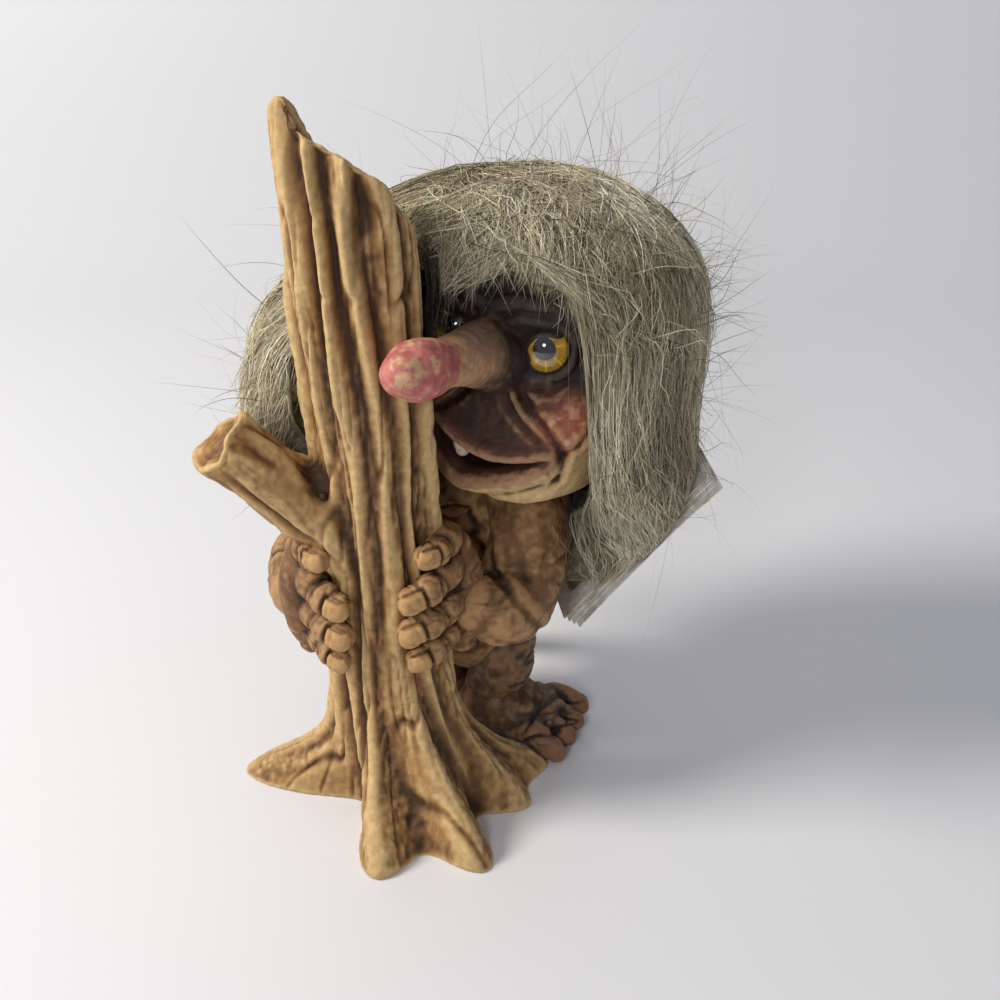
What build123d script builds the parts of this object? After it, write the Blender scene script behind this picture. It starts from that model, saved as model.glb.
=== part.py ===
from build123d import *
import math
import os

# Norwegian troll figure hugging a broken tree trunk, in millimetres.
# +Z is up, +X is to the viewer's right and -Y faces the viewer.
# The origin is on the floor under the middle of the trunk.

# Trunk
TRUNK_HEIGHT = 230.0
STEM_RADIUS = 17.5
STEM_FLATNESS = 0.90
TRUNK_LEAN = -0.042
RIDGE_COUNT = 11
RIDGE_HEIGHT = 1.7
ROOT_FLARE_HEIGHT = 13.0
ROOTS = (
    # heading in degrees, reach beyond the stem, spread in degrees, height of the flare
    (170.0, 38.0, 14.0, 14.0),
    (-98.0, 32.0, 14.5, 19.0),
    (-57.0, 35.0, 12.5, 23.0),
    (-15.0, 25.0, 12.0, 27.0),
    (16.0, 32.0, 12.0, 18.0),
    (128.0, 17.0, 15.0, 14.0),
)
BROKEN_TOP_DROP = 25.5
BREAK_SLOPE = 0.7
SPLINTER_WIDTH = 9.0
STUB_ABOVE_HAND = 14.0
STUB_LENGTH = 50.0
STUB_RADIUS = 12.0
STUB_RISE = 44.0

# Head
FACE_TURN = 32.0
HEAD_BASE = 100.0
HEAD_HEIGHT = 88.0
HEAD_HALF_WIDTH = 33.0
HEAD_DEPTH_FRONT = 33.0
HEAD_DEPTH_BACK = 34.0
NOSE_LENGTH = 70.0
NOSE_RADIUS = 8.6
NOSE_RISE = 14.0
NOSE_HEIGHT = 48.0
NOSE_GAP = 0.4
MOUTH_WIDTH = 43.0
MOUTH_HEIGHT = 20.0
MOUTH_OPENING = 8.0
MOUTH_DEPTH = 11.0
LIP_RADIUS = 3.4
TOOTH_RADIUS = 3.0
TOOTH_LENGTH = 8.0

# Craft eyes
EYE_DIAMETER = 14.0
EYE_SPACING = 31.0
EYE_HEIGHT = 55.0
EYE_OUTWARD = 16.0
EYE_BULGE = 4.6
IRIS_THICKNESS = 1.0
PUPIL_DIAMETER = 6.0
POST_DIAMETER = 4.0
POST_LENGTH = 9.0

# Body and limbs
BELLY_RADIUS = 25.0
BODY_GAP = 1.0
ARM_RADIUS = 12.5
HAND_HEIGHT = 73.0
FINGER_RADIUS = 4.9
FINGER_SPREAD = 11.0
LEG_RADIUS = 11.0
FOOT_LENGTH = 38.0
FOOT_WIDTH = 25.0
FOOT_HEIGHT = 22.0
TAIL_RADIUS = 5.0

# Wig
BACKING_THICKNESS = 1.0
HAIR_TOP = 195.0
HAIR_FALL = 138.0
HAIR_CLEARANCE = 0.4

# Paper booklet tag
TAG_LENGTH = 70.0
TAG_WIDTH = 46.0
LEAF_THICKNESS = 0.4
LEAF_GAP = 0.4
LEAF_FAN = 0.9
SPINE_RADIUS = 1.3
SPINE_CLEARANCE = 0.4
TAG_LOW_CORNER = (52.5, 33.0, 44.0)
TAG_TURN = -4.0
TAG_SLOPE = 51.0
TAG_BACK_RISE = 22.0

RING_POINTS = 44
HEAD_POINTS = 32


def ring(points, level):
    # One closed smooth outline at a height, evenly spaced so that neighbours loft cleanly.
    steps = list(range(len(points) + 1))
    with BuildSketch(Plane.XY.offset(level)) as section:
        with BuildLine():
            add(Edge.make_spline([Vector(*p) for p in points], periodic=True, parameters=steps))
        make_face()
    return section.sketch


def bump(offset, spread):
    return math.exp(-0.5 * (offset / spread) ** 2)


def turn_between(a, b):
    return (a - b + 180.0) % 360.0 - 180.0


def stem_radius(level):
    # The stem widens a little upwards, as the broken crown does.
    return STEM_RADIUS * (0.94 + 0.14 * bump(level - 0.82 * TRUNK_HEIGHT, 0.2 * TRUNK_HEIGHT))


def stem_centre(level):
    return Vector(-1.8 + TRUNK_LEAN * level, 0, level)


def stem_reach(angle, level):
    # Distance from the stem's centre to its mean surface in one direction.
    across = math.cos(math.radians(angle))
    deep = math.sin(math.radians(angle)) / STEM_FLATNESS
    return stem_radius(level) / math.hypot(across, deep)


def root_flare(level, height):
    # Share of a root's reach that is left at a level above the floor.
    return 0.65 * math.exp(-((level / height) ** 2)) + 0.35 * math.exp(-level / (1.7 * height))


def trunk_point(step, level):
    angle = 360.0 * step / RING_POINTS
    reach = stem_reach(angle, level)
    for heading, length, spread, height in ROOTS:
        reach += length * root_flare(level, height) * bump(turn_between(angle, heading), spread)
    flare = root_flare(level, ROOT_FLARE_HEIGHT)
    wave = math.cos(math.radians(RIDGE_COUNT * angle + 1.1 * level))
    reach += RIDGE_HEIGHT * wave * (1.0 - 0.6 * flare)
    centre = stem_centre(level) * (1.0 - flare)
    return (
        centre.X + reach * math.cos(math.radians(angle)),
        centre.Y + reach * math.sin(math.radians(angle)),
    )


def limb_sections(stations):
    # Round sections square to a path given as points with radii.
    sections = []
    spots = [Vector(*spot) for spot, _ in stations]
    for i, (_, radius) in enumerate(stations):
        before = spots[max(i - 1, 0)]
        after = spots[min(i + 1, len(spots) - 1)]
        with BuildSketch(Plane(origin=spots[i], z_dir=after - before)) as section:
            Circle(radius)
        sections.append(section.sketch)
    return sections


# Headings of the face
facing = Vector(-math.sin(math.radians(FACE_TURN)), -math.cos(math.radians(FACE_TURN)), 0)
left_hand_way = Vector(math.cos(math.radians(FACE_TURN)), -math.sin(math.radians(FACE_TURN)), 0)
nose_level = HEAD_BASE + NOSE_HEIGHT
nose_beside = nose_level + 10.0
side_angle = -FACE_TURN
nose_offset = stem_reach(side_angle, nose_beside) + RIDGE_HEIGHT + 0.9 * NOSE_RADIUS + NOSE_GAP
stem_at_nose = stem_centre(nose_beside)
head_spot = stem_at_nose + left_hand_way * nose_offset - facing * 57.0
head_x = head_spot.X
head_y = head_spot.Y


def on_face(forward, sideways, level):
    spot = Vector(head_x, head_y, 0) + facing * forward + left_hand_way * sideways
    return Vector(spot.X, spot.Y, level)


HEAD_SHAPE = (
    # share of the height, then of the half width, the front depth and the back depth
    (0.00, 0.50, 0.66, 0.42),
    (0.05, 0.66, 1.00, 0.60),
    (0.14, 0.82, 1.18, 0.76),
    (0.25, 0.94, 1.20, 0.88),
    (0.38, 1.02, 1.10, 0.96),
    (0.51, 1.02, 1.00, 1.00),
    (0.63, 1.00, 0.97, 1.03),
    (0.77, 0.96, 0.97, 1.02),
    (0.89, 0.82, 0.82, 0.90),
    (0.96, 0.60, 0.60, 0.66),
    (1.00, 0.30, 0.30, 0.33),
)


def head_point(step, share, side, front, back, skin):
    angle = 360.0 * step / HEAD_POINTS
    ahead = math.cos(math.radians(angle))
    aside = math.sin(math.radians(angle))
    depth = HEAD_DEPTH_FRONT * front if ahead > 0 else HEAD_DEPTH_BACK * back
    width = HEAD_HALF_WIDTH * side
    reach = ((abs(ahead) / depth) ** 2.2 + (abs(aside) / width) ** 2.2) ** (-1 / 2.2)
    for heading in (-1, 1):
        reach += 4.5 * bump(turn_between(angle, heading * 41.0), 15.0) * bump(share - 0.37, 0.09)
        reach += 3.0 * bump(turn_between(angle, heading * 24.0), 14.0) * bump(share - 0.77, 0.06)
        reach -= 2.5 * bump(turn_between(angle, heading * 28.0), 12.0) * bump(share - 0.62, 0.08)
    spot = on_face((reach + skin) * ahead, (reach + skin) * aside, 0)
    return (spot.X, spot.Y)


def head_rings(skin):
    rings = []
    for share, side, front, back in HEAD_SHAPE:
        outline = [head_point(i, share, side, front, back, skin) for i in range(HEAD_POINTS)]
        rings.append(ring(outline, HEAD_BASE + share * HEAD_HEIGHT + skin * share))
    return rings


os.makedirs("parts", exist_ok=True)

# Trunk: one loft from the spread roots to the broken top, with the branch stub grown on
trunk_shares = (0, 0.017, 0.039, 0.065, 0.1, 0.148, 0.217, 0.313, 0.426, 0.548, 0.661, 0.765, 0.861, 0.939)
trunk_levels = [share * TRUNK_HEIGHT for share in trunk_shares]
trunk_levels.append(TRUNK_HEIGHT + 6.0)
stub_heading = Vector(
    -math.cos(math.radians(STUB_RISE)), -0.10, math.sin(math.radians(STUB_RISE))
)
stub_plane = Plane(origin=stem_centre(HAND_HEIGHT + STUB_ABOVE_HAND), z_dir=stub_heading)
top_level = TRUNK_HEIGHT - BROKEN_TOP_DROP
top_centre = stem_centre(TRUNK_HEIGHT)
top_left = top_centre.X - stem_radius(TRUNK_HEIGHT)
top_right = top_centre.X + stem_radius(TRUNK_HEIGHT)
break_plane = Plane(
    origin=(0, 3 * STEM_RADIUS, -3.5 * STEM_RADIUS * BREAK_SLOPE), x_dir=(1, 0, 0), z_dir=(0, -1, 0)
)
with BuildPart() as tree_trunk:
    trunk_rings = []
    for trunk_level in trunk_levels:
        trunk_outline = [trunk_point(i, trunk_level) for i in range(RING_POINTS)]
        trunk_rings.append(ring(trunk_outline, trunk_level))
    loft(sections=trunk_rings)
    # The stub flares at both ends and its broken end is dished
    with BuildSketch(stub_plane * Plane.XZ) as stub_profile:
        with BuildLine():
            Line((0, 0), (STUB_RADIUS * 1.15, 0))
            Spline(
                (STUB_RADIUS * 1.15, 0),
                (STUB_RADIUS * 0.90, STUB_LENGTH * 0.66),
                (STUB_RADIUS, STUB_LENGTH + 12.0),
            )
            Line((STUB_RADIUS, STUB_LENGTH + 12.0), (STUB_RADIUS * 0.8, STUB_LENGTH + 13.5))
            Line((STUB_RADIUS * 0.8, STUB_LENGTH + 13.5), (0, STUB_LENGTH + 10.5))
            Line((0, STUB_LENGTH + 10.5), (0, 0))
        make_face()
    revolve(axis=Axis(stub_plane.origin, stub_plane.z_dir))
    # The broken top: a tall splinter on one side, a break beside it, and all of it falls to the back
    with BuildSketch(break_plane) as break_profile:
        with BuildLine():
            Line((top_left - 30, TRUNK_HEIGHT + 70), (top_left - 30, TRUNK_HEIGHT - 8))
            Line((top_left - 30, TRUNK_HEIGHT - 8), (top_left - 2, TRUNK_HEIGHT - 5))
            Spline(
                (top_left - 2, TRUNK_HEIGHT - 5),
                (top_left + 0.35 * SPLINTER_WIDTH, TRUNK_HEIGHT),
                (top_left + SPLINTER_WIDTH, TRUNK_HEIGHT - 11),
                (top_left + 2.2 * SPLINTER_WIDTH, TRUNK_HEIGHT - 18),
                (top_right - 4, top_level),
                (top_right + 6, top_level - 13),
            )
            Line((top_right + 6, top_level - 13), (top_right + 40, top_level - 13))
            Line((top_right + 40, top_level - 13), (top_right + 40, TRUNK_HEIGHT + 70))
            Line((top_right + 40, TRUNK_HEIGHT + 70), (top_left - 30, TRUNK_HEIGHT + 70))
        make_face()
    extrude(amount=6 * STEM_RADIUS, dir=(0, -1, BREAK_SLOPE), mode=Mode.SUBTRACT)
    with BuildSketch(Plane.YZ.offset(-6 * STEM_RADIUS)) as ridge_profile:
        with BuildLine():
            Line((-3 * STEM_RADIUS, TRUNK_HEIGHT - 32), (-STEM_RADIUS, TRUNK_HEIGHT - 13))
            Spline(
                (-STEM_RADIUS, TRUNK_HEIGHT - 13),
                (-0.6 * STEM_RADIUS, TRUNK_HEIGHT - 2),
                (-0.25 * STEM_RADIUS, TRUNK_HEIGHT - 1),
                (0.3 * STEM_RADIUS, TRUNK_HEIGHT - 9),
                (STEM_RADIUS, TRUNK_HEIGHT - 25),
            )
            Line((STEM_RADIUS, TRUNK_HEIGHT - 25), (3 * STEM_RADIUS, TRUNK_HEIGHT - 60))
            Line((3 * STEM_RADIUS, TRUNK_HEIGHT - 60), (3 * STEM_RADIUS, TRUNK_HEIGHT + 20))
            Line((3 * STEM_RADIUS, TRUNK_HEIGHT + 20), (-3 * STEM_RADIUS, TRUNK_HEIGHT + 20))
            Line((-3 * STEM_RADIUS, TRUNK_HEIGHT + 20), (-3 * STEM_RADIUS, TRUNK_HEIGHT - 32))
        make_face()
    extrude(amount=12 * STEM_RADIUS, mode=Mode.SUBTRACT)
    # Shallow hollow on the front, under the rim of the break
    with Locations(stem_centre(0.885 * TRUNK_HEIGHT) + Vector(5, -stem_radius(TRUNK_HEIGHT) * 1.38, 0)):
        Sphere(11, mode=Mode.SUBTRACT)
tree_trunk.part.label = "tree_trunk"
export_step(tree_trunk.part, "parts/tree_trunk.step")

# Torso behind the trunk, from the seat up to the neck under the head
belly_y = STEM_RADIUS * STEM_FLATNESS + RIDGE_HEIGHT + BODY_GAP + BELLY_RADIUS
belly_x = head_x - 0.85 * BELLY_RADIUS
with BuildPart() as troll_torso:
    torso_stations = (
        (0.30, 0.00, 0.60),
        (0.38, 0.00, 0.88),
        (0.54, 0.06, 1.00),
        (0.74, 0.34, 0.88),
        (0.88, 0.62, 0.68),
        (1.00, 0.80, 0.54),
    )
    torso_rings = []
    for share, shift, girth in torso_stations:
        spot_x = belly_x + shift * (head_x - belly_x)
        spot_y = belly_y + shift * (head_y - belly_y)
        with BuildSketch(Plane.XY.offset(share * HEAD_BASE)) as torso_ring:
            with Locations((spot_x, spot_y)):
                Circle(girth * BELLY_RADIUS)
        torso_rings.append(torso_ring.sketch)
    loft(sections=torso_rings)
    add(tree_trunk.part, mode=Mode.SUBTRACT)
troll_torso.part.label = "troll_torso"
export_step(troll_torso.part, "parts/troll_torso.step")

# Head with the long nose, the lips, the open mouth and the stepped seats of the eyes
nose_start = 20.0
nose_heading = facing * math.cos(math.radians(NOSE_RISE)) + Vector(0, 0, math.sin(math.radians(NOSE_RISE)))
nose_plane = Plane(origin=on_face(nose_start, 0, nose_level), x_dir=left_hand_way, z_dir=nose_heading)
bulb_spot = (NOSE_LENGTH - nose_start) / math.cos(math.radians(NOSE_RISE))
mouth_level = HEAD_BASE + MOUTH_HEIGHT
mouth_front = 1.20 * HEAD_DEPTH_FRONT
mouth_plane = Plane(
    origin=on_face(mouth_front - MOUTH_DEPTH, 0, mouth_level), x_dir=left_hand_way, z_dir=facing
)
half_mouth = MOUTH_WIDTH / 2


def muzzle_front(aside):
    return mouth_front * (1 - (aside / (0.93 * HEAD_HALF_WIDTH)) ** 2.2) ** (1 / 2.2)


def lip_stations(middle, corner, girths):
    stations = []
    for share, girth in zip((-0.92, -0.5, 0.0, 0.5, 0.92), girths):
        rise = middle + (corner - middle) * share ** 2
        aside = share * half_mouth
        spot = on_face(muzzle_front(abs(aside)) - 1.0, aside, mouth_level + rise)
        stations.append((spot, girth * LIP_RADIUS))
    return stations


eye_level = HEAD_BASE + EYE_HEIGHT
eye_radius = EYE_DIAMETER / 2
eye_planes = []
for side in (1, -1):
    gaze = math.radians(EYE_OUTWARD)
    heading = facing * math.cos(gaze) + left_hand_way * (side * math.sin(gaze)) + Vector(0, 0, 0.12)
    seat = on_face(0.80 * HEAD_DEPTH_FRONT, side * EYE_SPACING / 2, eye_level)
    eye_planes.append(Plane(origin=seat, z_dir=heading))

with BuildPart() as troll_head:
    loft(sections=head_rings(0))
    with BuildSketch(nose_plane * Plane.XZ) as nose_profile:
        with BuildLine():
            Line((0, 0), (1.5 * NOSE_RADIUS, 0))
            Spline(
                (1.5 * NOSE_RADIUS, 0),
                (1.2 * NOSE_RADIUS, 0.30 * bulb_spot),
                (0.9 * NOSE_RADIUS, 0.66 * bulb_spot),
                (NOSE_RADIUS, bulb_spot),
                tangents=((0, 1), (0, 1)),
            )
            RadiusArc((NOSE_RADIUS, bulb_spot), (0, bulb_spot + NOSE_RADIUS), -NOSE_RADIUS)
            Line((0, bulb_spot + NOSE_RADIUS), (0, 0))
        make_face()
    revolve(axis=Axis(nose_plane.origin, nose_plane.z_dir))
    # The smiling mouth is a crescent cut into the muzzle
    with BuildSketch(mouth_plane) as mouth_shape:
        with BuildLine():
            ThreePointArc((-half_mouth, 5.5), (0, 0.25 * MOUTH_OPENING), (half_mouth, 5.5))
            ThreePointArc((half_mouth, 5.5), (0, -0.75 * MOUTH_OPENING), (-half_mouth, 5.5))
        make_face()
    extrude(amount=2 * MOUTH_DEPTH, mode=Mode.SUBTRACT)
    loft(sections=limb_sections(lip_stations(-MOUTH_OPENING - 1.5, 5.0, (0.4, 0.9, 1.0, 0.9, 0.4))))
    loft(sections=limb_sections(lip_stations(0.25 * MOUTH_OPENING + 2.0, 6.5, (0.4, 0.7, 0.75, 0.7, 0.4))))
    # Each eye has a raised lid, a round seat and a bore for its post
    for eye_plane in eye_planes:
        with Locations(eye_plane.offset(1.6)):
            Torus(eye_radius + 0.9, 2.0)
        with Locations(eye_plane):
            Cylinder(eye_radius, 14, align=(Align.CENTER, Align.CENTER, Align.MIN), mode=Mode.SUBTRACT)
        with Locations(eye_plane):
            Cylinder(
                POST_DIAMETER / 2,
                POST_LENGTH,
                align=(Align.CENTER, Align.CENTER, Align.MAX),
                mode=Mode.SUBTRACT,
            )
troll_head.part.label = "troll_head"
export_step(troll_head.part, "parts/troll_head.step")

# One tooth hangs from the roof of the mouth
tooth_spot = on_face(mouth_front - 4.5, -0.36 * half_mouth, mouth_level + 0.25 * MOUTH_OPENING + 2.5)
with BuildPart() as upper_tooth:
    with BuildSketch(Plane(origin=tooth_spot, z_dir=(0, 0, -1)) * Plane.XZ) as tooth_profile:
        with BuildLine():
            Line((0, 0), (TOOTH_RADIUS, 0))
            Spline(
                (TOOTH_RADIUS, 0),
                (0.85 * TOOTH_RADIUS, 0.6 * TOOTH_LENGTH),
                (0, TOOTH_LENGTH),
                tangents=((0, 1), (-1, 0)),
            )
            Line((0, TOOTH_LENGTH), (0, 0))
        make_face()
    revolve(axis=Axis(tooth_spot, (0, 0, -1)))
    add(troll_head.part, mode=Mode.SUBTRACT)
upper_tooth.part.label = "upper_tooth"
export_step(upper_tooth.part, "parts/upper_tooth.step")

# Craft eyes: a black pupil on a post, an amber ring round it and a clear dome over both
dome_radius = (eye_radius ** 2 + EYE_BULGE ** 2) / (2 * EYE_BULGE)
for side_name, eye_plane in zip(("left", "right"), eye_planes):
    eye_axis = Axis(eye_plane.origin, eye_plane.z_dir)
    with BuildPart() as eye_pupil:
        with BuildSketch(eye_plane):
            Circle(PUPIL_DIAMETER / 2)
        extrude(amount=IRIS_THICKNESS)
        with BuildSketch(eye_plane):
            Circle(POST_DIAMETER / 2)
        extrude(amount=-POST_LENGTH)
    eye_pupil.part.label = side_name + "_eye_pupil"
    export_step(eye_pupil.part, "parts/" + side_name + "_eye_pupil.step")
    with BuildPart() as eye_iris:
        with BuildSketch(eye_plane):
            Circle(eye_radius)
            Circle(PUPIL_DIAMETER / 2, mode=Mode.SUBTRACT)
        extrude(amount=IRIS_THICKNESS)
    eye_iris.part.label = side_name + "_eye_iris"
    export_step(eye_iris.part, "parts/" + side_name + "_eye_iris.step")
    with BuildPart() as eye_dome:
        with BuildSketch(eye_plane.offset(IRIS_THICKNESS) * Plane.XZ):
            with BuildLine():
                Line((0, 0), (eye_radius, 0))
                Line((eye_radius, 0), (eye_radius, 1.0))
                RadiusArc((eye_radius, 1.0), (0, 1.0 + EYE_BULGE), -dome_radius)
                Line((0, 1.0 + EYE_BULGE), (0, 0))
            make_face()
        revolve(axis=eye_axis)
    eye_dome.part.label = side_name + "_eye_dome"
    export_step(eye_dome.part, "parts/" + side_name + "_eye_dome.step")

# Legs and feet
hip_level = 0.46 * HEAD_BASE
ankle_level = 0.62 * FOOT_HEIGHT
left_ankle = Vector(belly_x + 5.0, belly_y - 9.0, ankle_level)
right_ankle = Vector(belly_x - 10.0, belly_y + 3.0, ankle_level)


def leg_stations(ankle, outwards):
    hip = Vector(ankle.X + outwards, ankle.Y + 2.0, hip_level)
    knee = (hip + ankle) * 0.5 + Vector(outwards, -2.0, 0)
    return ((hip, 1.1 * LEG_RADIUS), (knee, LEG_RADIUS), (ankle, 0.9 * LEG_RADIUS))


def foot_sections(ankle, heading):
    # Upright oval sections from the heel to the ball of the foot.
    way = Vector(math.cos(math.radians(heading)), math.sin(math.radians(heading)), 0)
    shares = (
        (-0.30, 0.50, 0.62),
        (-0.16, 0.86, 1.00),
        (0.10, 0.96, 0.98),
        (0.40, 1.00, 0.76),
        (0.60, 0.92, 0.58),
    )
    sections = []
    for along, wide, tall in shares:
        spot = Vector(ankle.X, ankle.Y, 0.5 * tall * FOOT_HEIGHT) + way * (along * FOOT_LENGTH)
        upright = Plane(origin=spot, x_dir=(-way.Y, way.X, 0), z_dir=way)
        with BuildSketch(upright) as section:
            Ellipse(0.5 * wide * FOOT_WIDTH, 0.5 * tall * FOOT_HEIGHT)
        sections.append(section.sketch)
    return sections


def toe_stations(ankle, heading, toe):
    # Toes fan out from the ball and curl down to the floor.
    fan = heading + 11.0 * toe
    way = Vector(math.cos(math.radians(fan)), math.sin(math.radians(fan)), 0)
    across = Vector(-math.sin(math.radians(heading)), math.cos(math.radians(heading)), 0)
    root = Vector(ankle.X, ankle.Y, 0) + across * (0.17 * FOOT_WIDTH * toe)
    thick = 0.19 * FOOT_HEIGHT
    stations = []
    for along, lift, girth in ((0.36, 1.5, 0.9), (0.52, 1.9, 1.0), (0.66, 1.5, 1.0), (0.76, 1.0, 0.5)):
        spot = root + way * (along * FOOT_LENGTH) + Vector(0, 0, lift * thick)
        stations.append((spot, girth * thick))
    return stations


with BuildPart() as left_leg:
    loft(sections=limb_sections(leg_stations(left_ankle, 2.0)))
    add(troll_torso.part, mode=Mode.SUBTRACT)
    add(tree_trunk.part, mode=Mode.SUBTRACT)
left_leg.part.label = "left_leg"
export_step(left_leg.part, "parts/left_leg.step")

with BuildPart() as left_foot:
    loft(sections=foot_sections(left_ankle, -18.0))
    for toe in (-1.5, -0.5, 0.5, 1.5):
        loft(sections=limb_sections(toe_stations(left_ankle, -18.0, toe)))
    split(bisect_by=Plane.XY, keep=Keep.TOP)
    add(left_leg.part, mode=Mode.SUBTRACT)
    add(troll_torso.part, mode=Mode.SUBTRACT)
    add(tree_trunk.part, mode=Mode.SUBTRACT)
left_foot.part.label = "left_foot"
export_step(left_foot.part, "parts/left_foot.step")

with BuildPart() as right_leg:
    loft(sections=limb_sections(leg_stations(right_ankle, -2.0)))
    add(troll_torso.part, mode=Mode.SUBTRACT)
    add(tree_trunk.part, mode=Mode.SUBTRACT)
    add(left_leg.part, mode=Mode.SUBTRACT)
    add(left_foot.part, mode=Mode.SUBTRACT)
right_leg.part.label = "right_leg"
export_step(right_leg.part, "parts/right_leg.step")

with BuildPart() as right_foot:
    loft(sections=foot_sections(right_ankle, 176.0))
    for toe in (-1.5, -0.5, 0.5, 1.5):
        loft(sections=limb_sections(toe_stations(right_ankle, 176.0, toe)))
    split(bisect_by=Plane.XY, keep=Keep.TOP)
    add(right_leg.part, mode=Mode.SUBTRACT)
    add(troll_torso.part, mode=Mode.SUBTRACT)
    add(tree_trunk.part, mode=Mode.SUBTRACT)
    add(left_foot.part, mode=Mode.SUBTRACT)
    add(left_leg.part, mode=Mode.SUBTRACT)
right_foot.part.label = "right_foot"
export_step(right_foot.part, "parts/right_foot.step")

# Arms from the shoulders round to the wrists beside the stem
wrist_reach = stem_reach(0, HAND_HEIGHT) + RIDGE_HEIGHT
stem_at_hand = stem_centre(HAND_HEIGHT)
left_wrist = stem_at_hand + Vector(wrist_reach + 0.9 * ARM_RADIUS, -1.0, -2.0)
right_wrist = stem_at_hand + Vector(-wrist_reach - 0.7 * ARM_RADIUS, 5.0, -1.0)
left_elbow = Vector(left_wrist.X + 12.5, left_wrist.Y + 12.0, HAND_HEIGHT - 3.0)
right_elbow = Vector(right_wrist.X + 3.0, belly_y - 16.0, HAND_HEIGHT + 1.0)
left_shoulder = Vector(head_x - 10.0, head_y - 2.0, 0.97 * HEAD_BASE)
right_shoulder = Vector(belly_x - 4.0, belly_y - 5.0, 0.92 * HEAD_BASE)
with BuildPart() as left_arm:
    left_arm_stations = (
        (left_shoulder, 0.86 * ARM_RADIUS),
        ((left_shoulder + left_elbow) * 0.5 + Vector(4, 0, 3), ARM_RADIUS),
        (left_elbow, 1.06 * ARM_RADIUS),
        ((left_elbow + left_wrist) * 0.5 + Vector(1, -3, -3), 0.96 * ARM_RADIUS),
        (left_wrist, 0.74 * ARM_RADIUS),
    )
    loft(sections=limb_sections(left_arm_stations))
    add(troll_torso.part, mode=Mode.SUBTRACT)
    add(troll_head.part, mode=Mode.SUBTRACT)
    add(tree_trunk.part, mode=Mode.SUBTRACT)
    add(left_leg.part, mode=Mode.SUBTRACT)
left_arm.part.label = "left_arm"
export_step(left_arm.part, "parts/left_arm.step")

with BuildPart() as right_arm:
    right_arm_stations = (
        (right_shoulder, 0.90 * ARM_RADIUS),
        ((right_shoulder + right_elbow) * 0.5 + Vector(0, 4, 1), 0.95 * ARM_RADIUS),
        (right_elbow, 0.90 * ARM_RADIUS),
        ((right_elbow + right_wrist) * 0.5 + Vector(-2, 0, -2), 0.80 * ARM_RADIUS),
        (right_wrist, 0.68 * ARM_RADIUS),
    )
    loft(sections=limb_sections(right_arm_stations))
    add(troll_torso.part, mode=Mode.SUBTRACT)
    add(tree_trunk.part, mode=Mode.SUBTRACT)
right_arm.part.label = "right_arm"
export_step(right_arm.part, "parts/right_arm.step")


def grip_spot(angle, level, standoff):
    reach = stem_reach(angle, level) + 0.3 * RIDGE_HEIGHT + standoff
    way = Vector(math.cos(math.radians(angle)), math.sin(math.radians(angle)), 0)
    return stem_centre(level) + way * reach


def finger_stations(start, end, level, girth, droop):
    stations = []
    for along, size in ((0.0, 1.0), (0.3, 1.06), (0.55, 0.92), (0.78, 0.98), (0.94, 0.82), (1.0, 0.4)):
        angle = start + along * (end - start)
        radius = size * girth * FINGER_RADIUS
        stations.append((grip_spot(angle, level - along * droop, 0.8 * girth * FINGER_RADIUS), radius))
    return stations


def palm_stations(angle):
    stations = []
    for rise, size in ((-1.65, 0.8), (-0.9, 1.5), (0.0, 1.75), (0.9, 1.6), (1.75, 0.9)):
        level = HAND_HEIGHT + rise * FINGER_SPREAD
        stations.append((grip_spot(angle, level, 1.3 * FINGER_RADIUS), size * FINGER_RADIUS))
    return stations


with BuildPart() as left_hand:
    loft(sections=limb_sections(palm_stations(4.0)))
    for rise, girth, end in ((1.0, 1.0, -63.0), (0.0, 1.04, -66.0), (-0.95, 0.9, -60.0)):
        level = HAND_HEIGHT + 3.0 + rise * FINGER_SPREAD
        loft(sections=limb_sections(finger_stations(-2.0, end, level, girth, 5.0)))
    loft(sections=limb_sections(finger_stations(0.0, -44.0, HAND_HEIGHT + 2.0 * FINGER_SPREAD, 0.92, 0.0)))
    add(tree_trunk.part, mode=Mode.SUBTRACT)
    add(left_arm.part, mode=Mode.SUBTRACT)
left_hand.part.label = "left_hand"
export_step(left_hand.part, "parts/left_hand.step")

with BuildPart() as right_hand:
    loft(sections=limb_sections(palm_stations(178.0)))
    for rise, girth, end in ((0.75, 1.0, 237.0), (-0.2, 1.0, 236.0), (-1.1, 0.84, 230.0)):
        level = HAND_HEIGHT + 2.0 + rise * FINGER_SPREAD
        loft(sections=limb_sections(finger_stations(184.0, end, level, girth, 4.0)))
    loft(sections=limb_sections(finger_stations(182.0, 216.0, HAND_HEIGHT + 1.75 * FINGER_SPREAD, 0.95, -1.0)))
    add(tree_trunk.part, mode=Mode.SUBTRACT)
    add(right_arm.part, mode=Mode.SUBTRACT)
right_hand.part.label = "right_hand"
export_step(right_hand.part, "parts/right_hand.step")

# Tail behind, curling round to the floor, with a tuft at its end
tail_root = Vector(belly_x + 2.0, belly_y + 0.66 * BELLY_RADIUS, 0.46 * HEAD_BASE)
tail_end = tail_root + Vector(-22.0, 19.0, -0.46 * HEAD_BASE + 1.6 * TAIL_RADIUS)
with BuildPart() as tail:
    tail_stations = (
        (tail_root, 1.5 * TAIL_RADIUS),
        (tail_root + Vector(2, 13, -14), 1.2 * TAIL_RADIUS),
        (tail_root + Vector(-8, 20, -31), TAIL_RADIUS),
        (tail_end, 0.8 * TAIL_RADIUS),
    )
    loft(sections=limb_sections(tail_stations))
    add(troll_torso.part, mode=Mode.SUBTRACT)
tail.part.label = "tail"
export_step(tail.part, "parts/tail.step")

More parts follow.
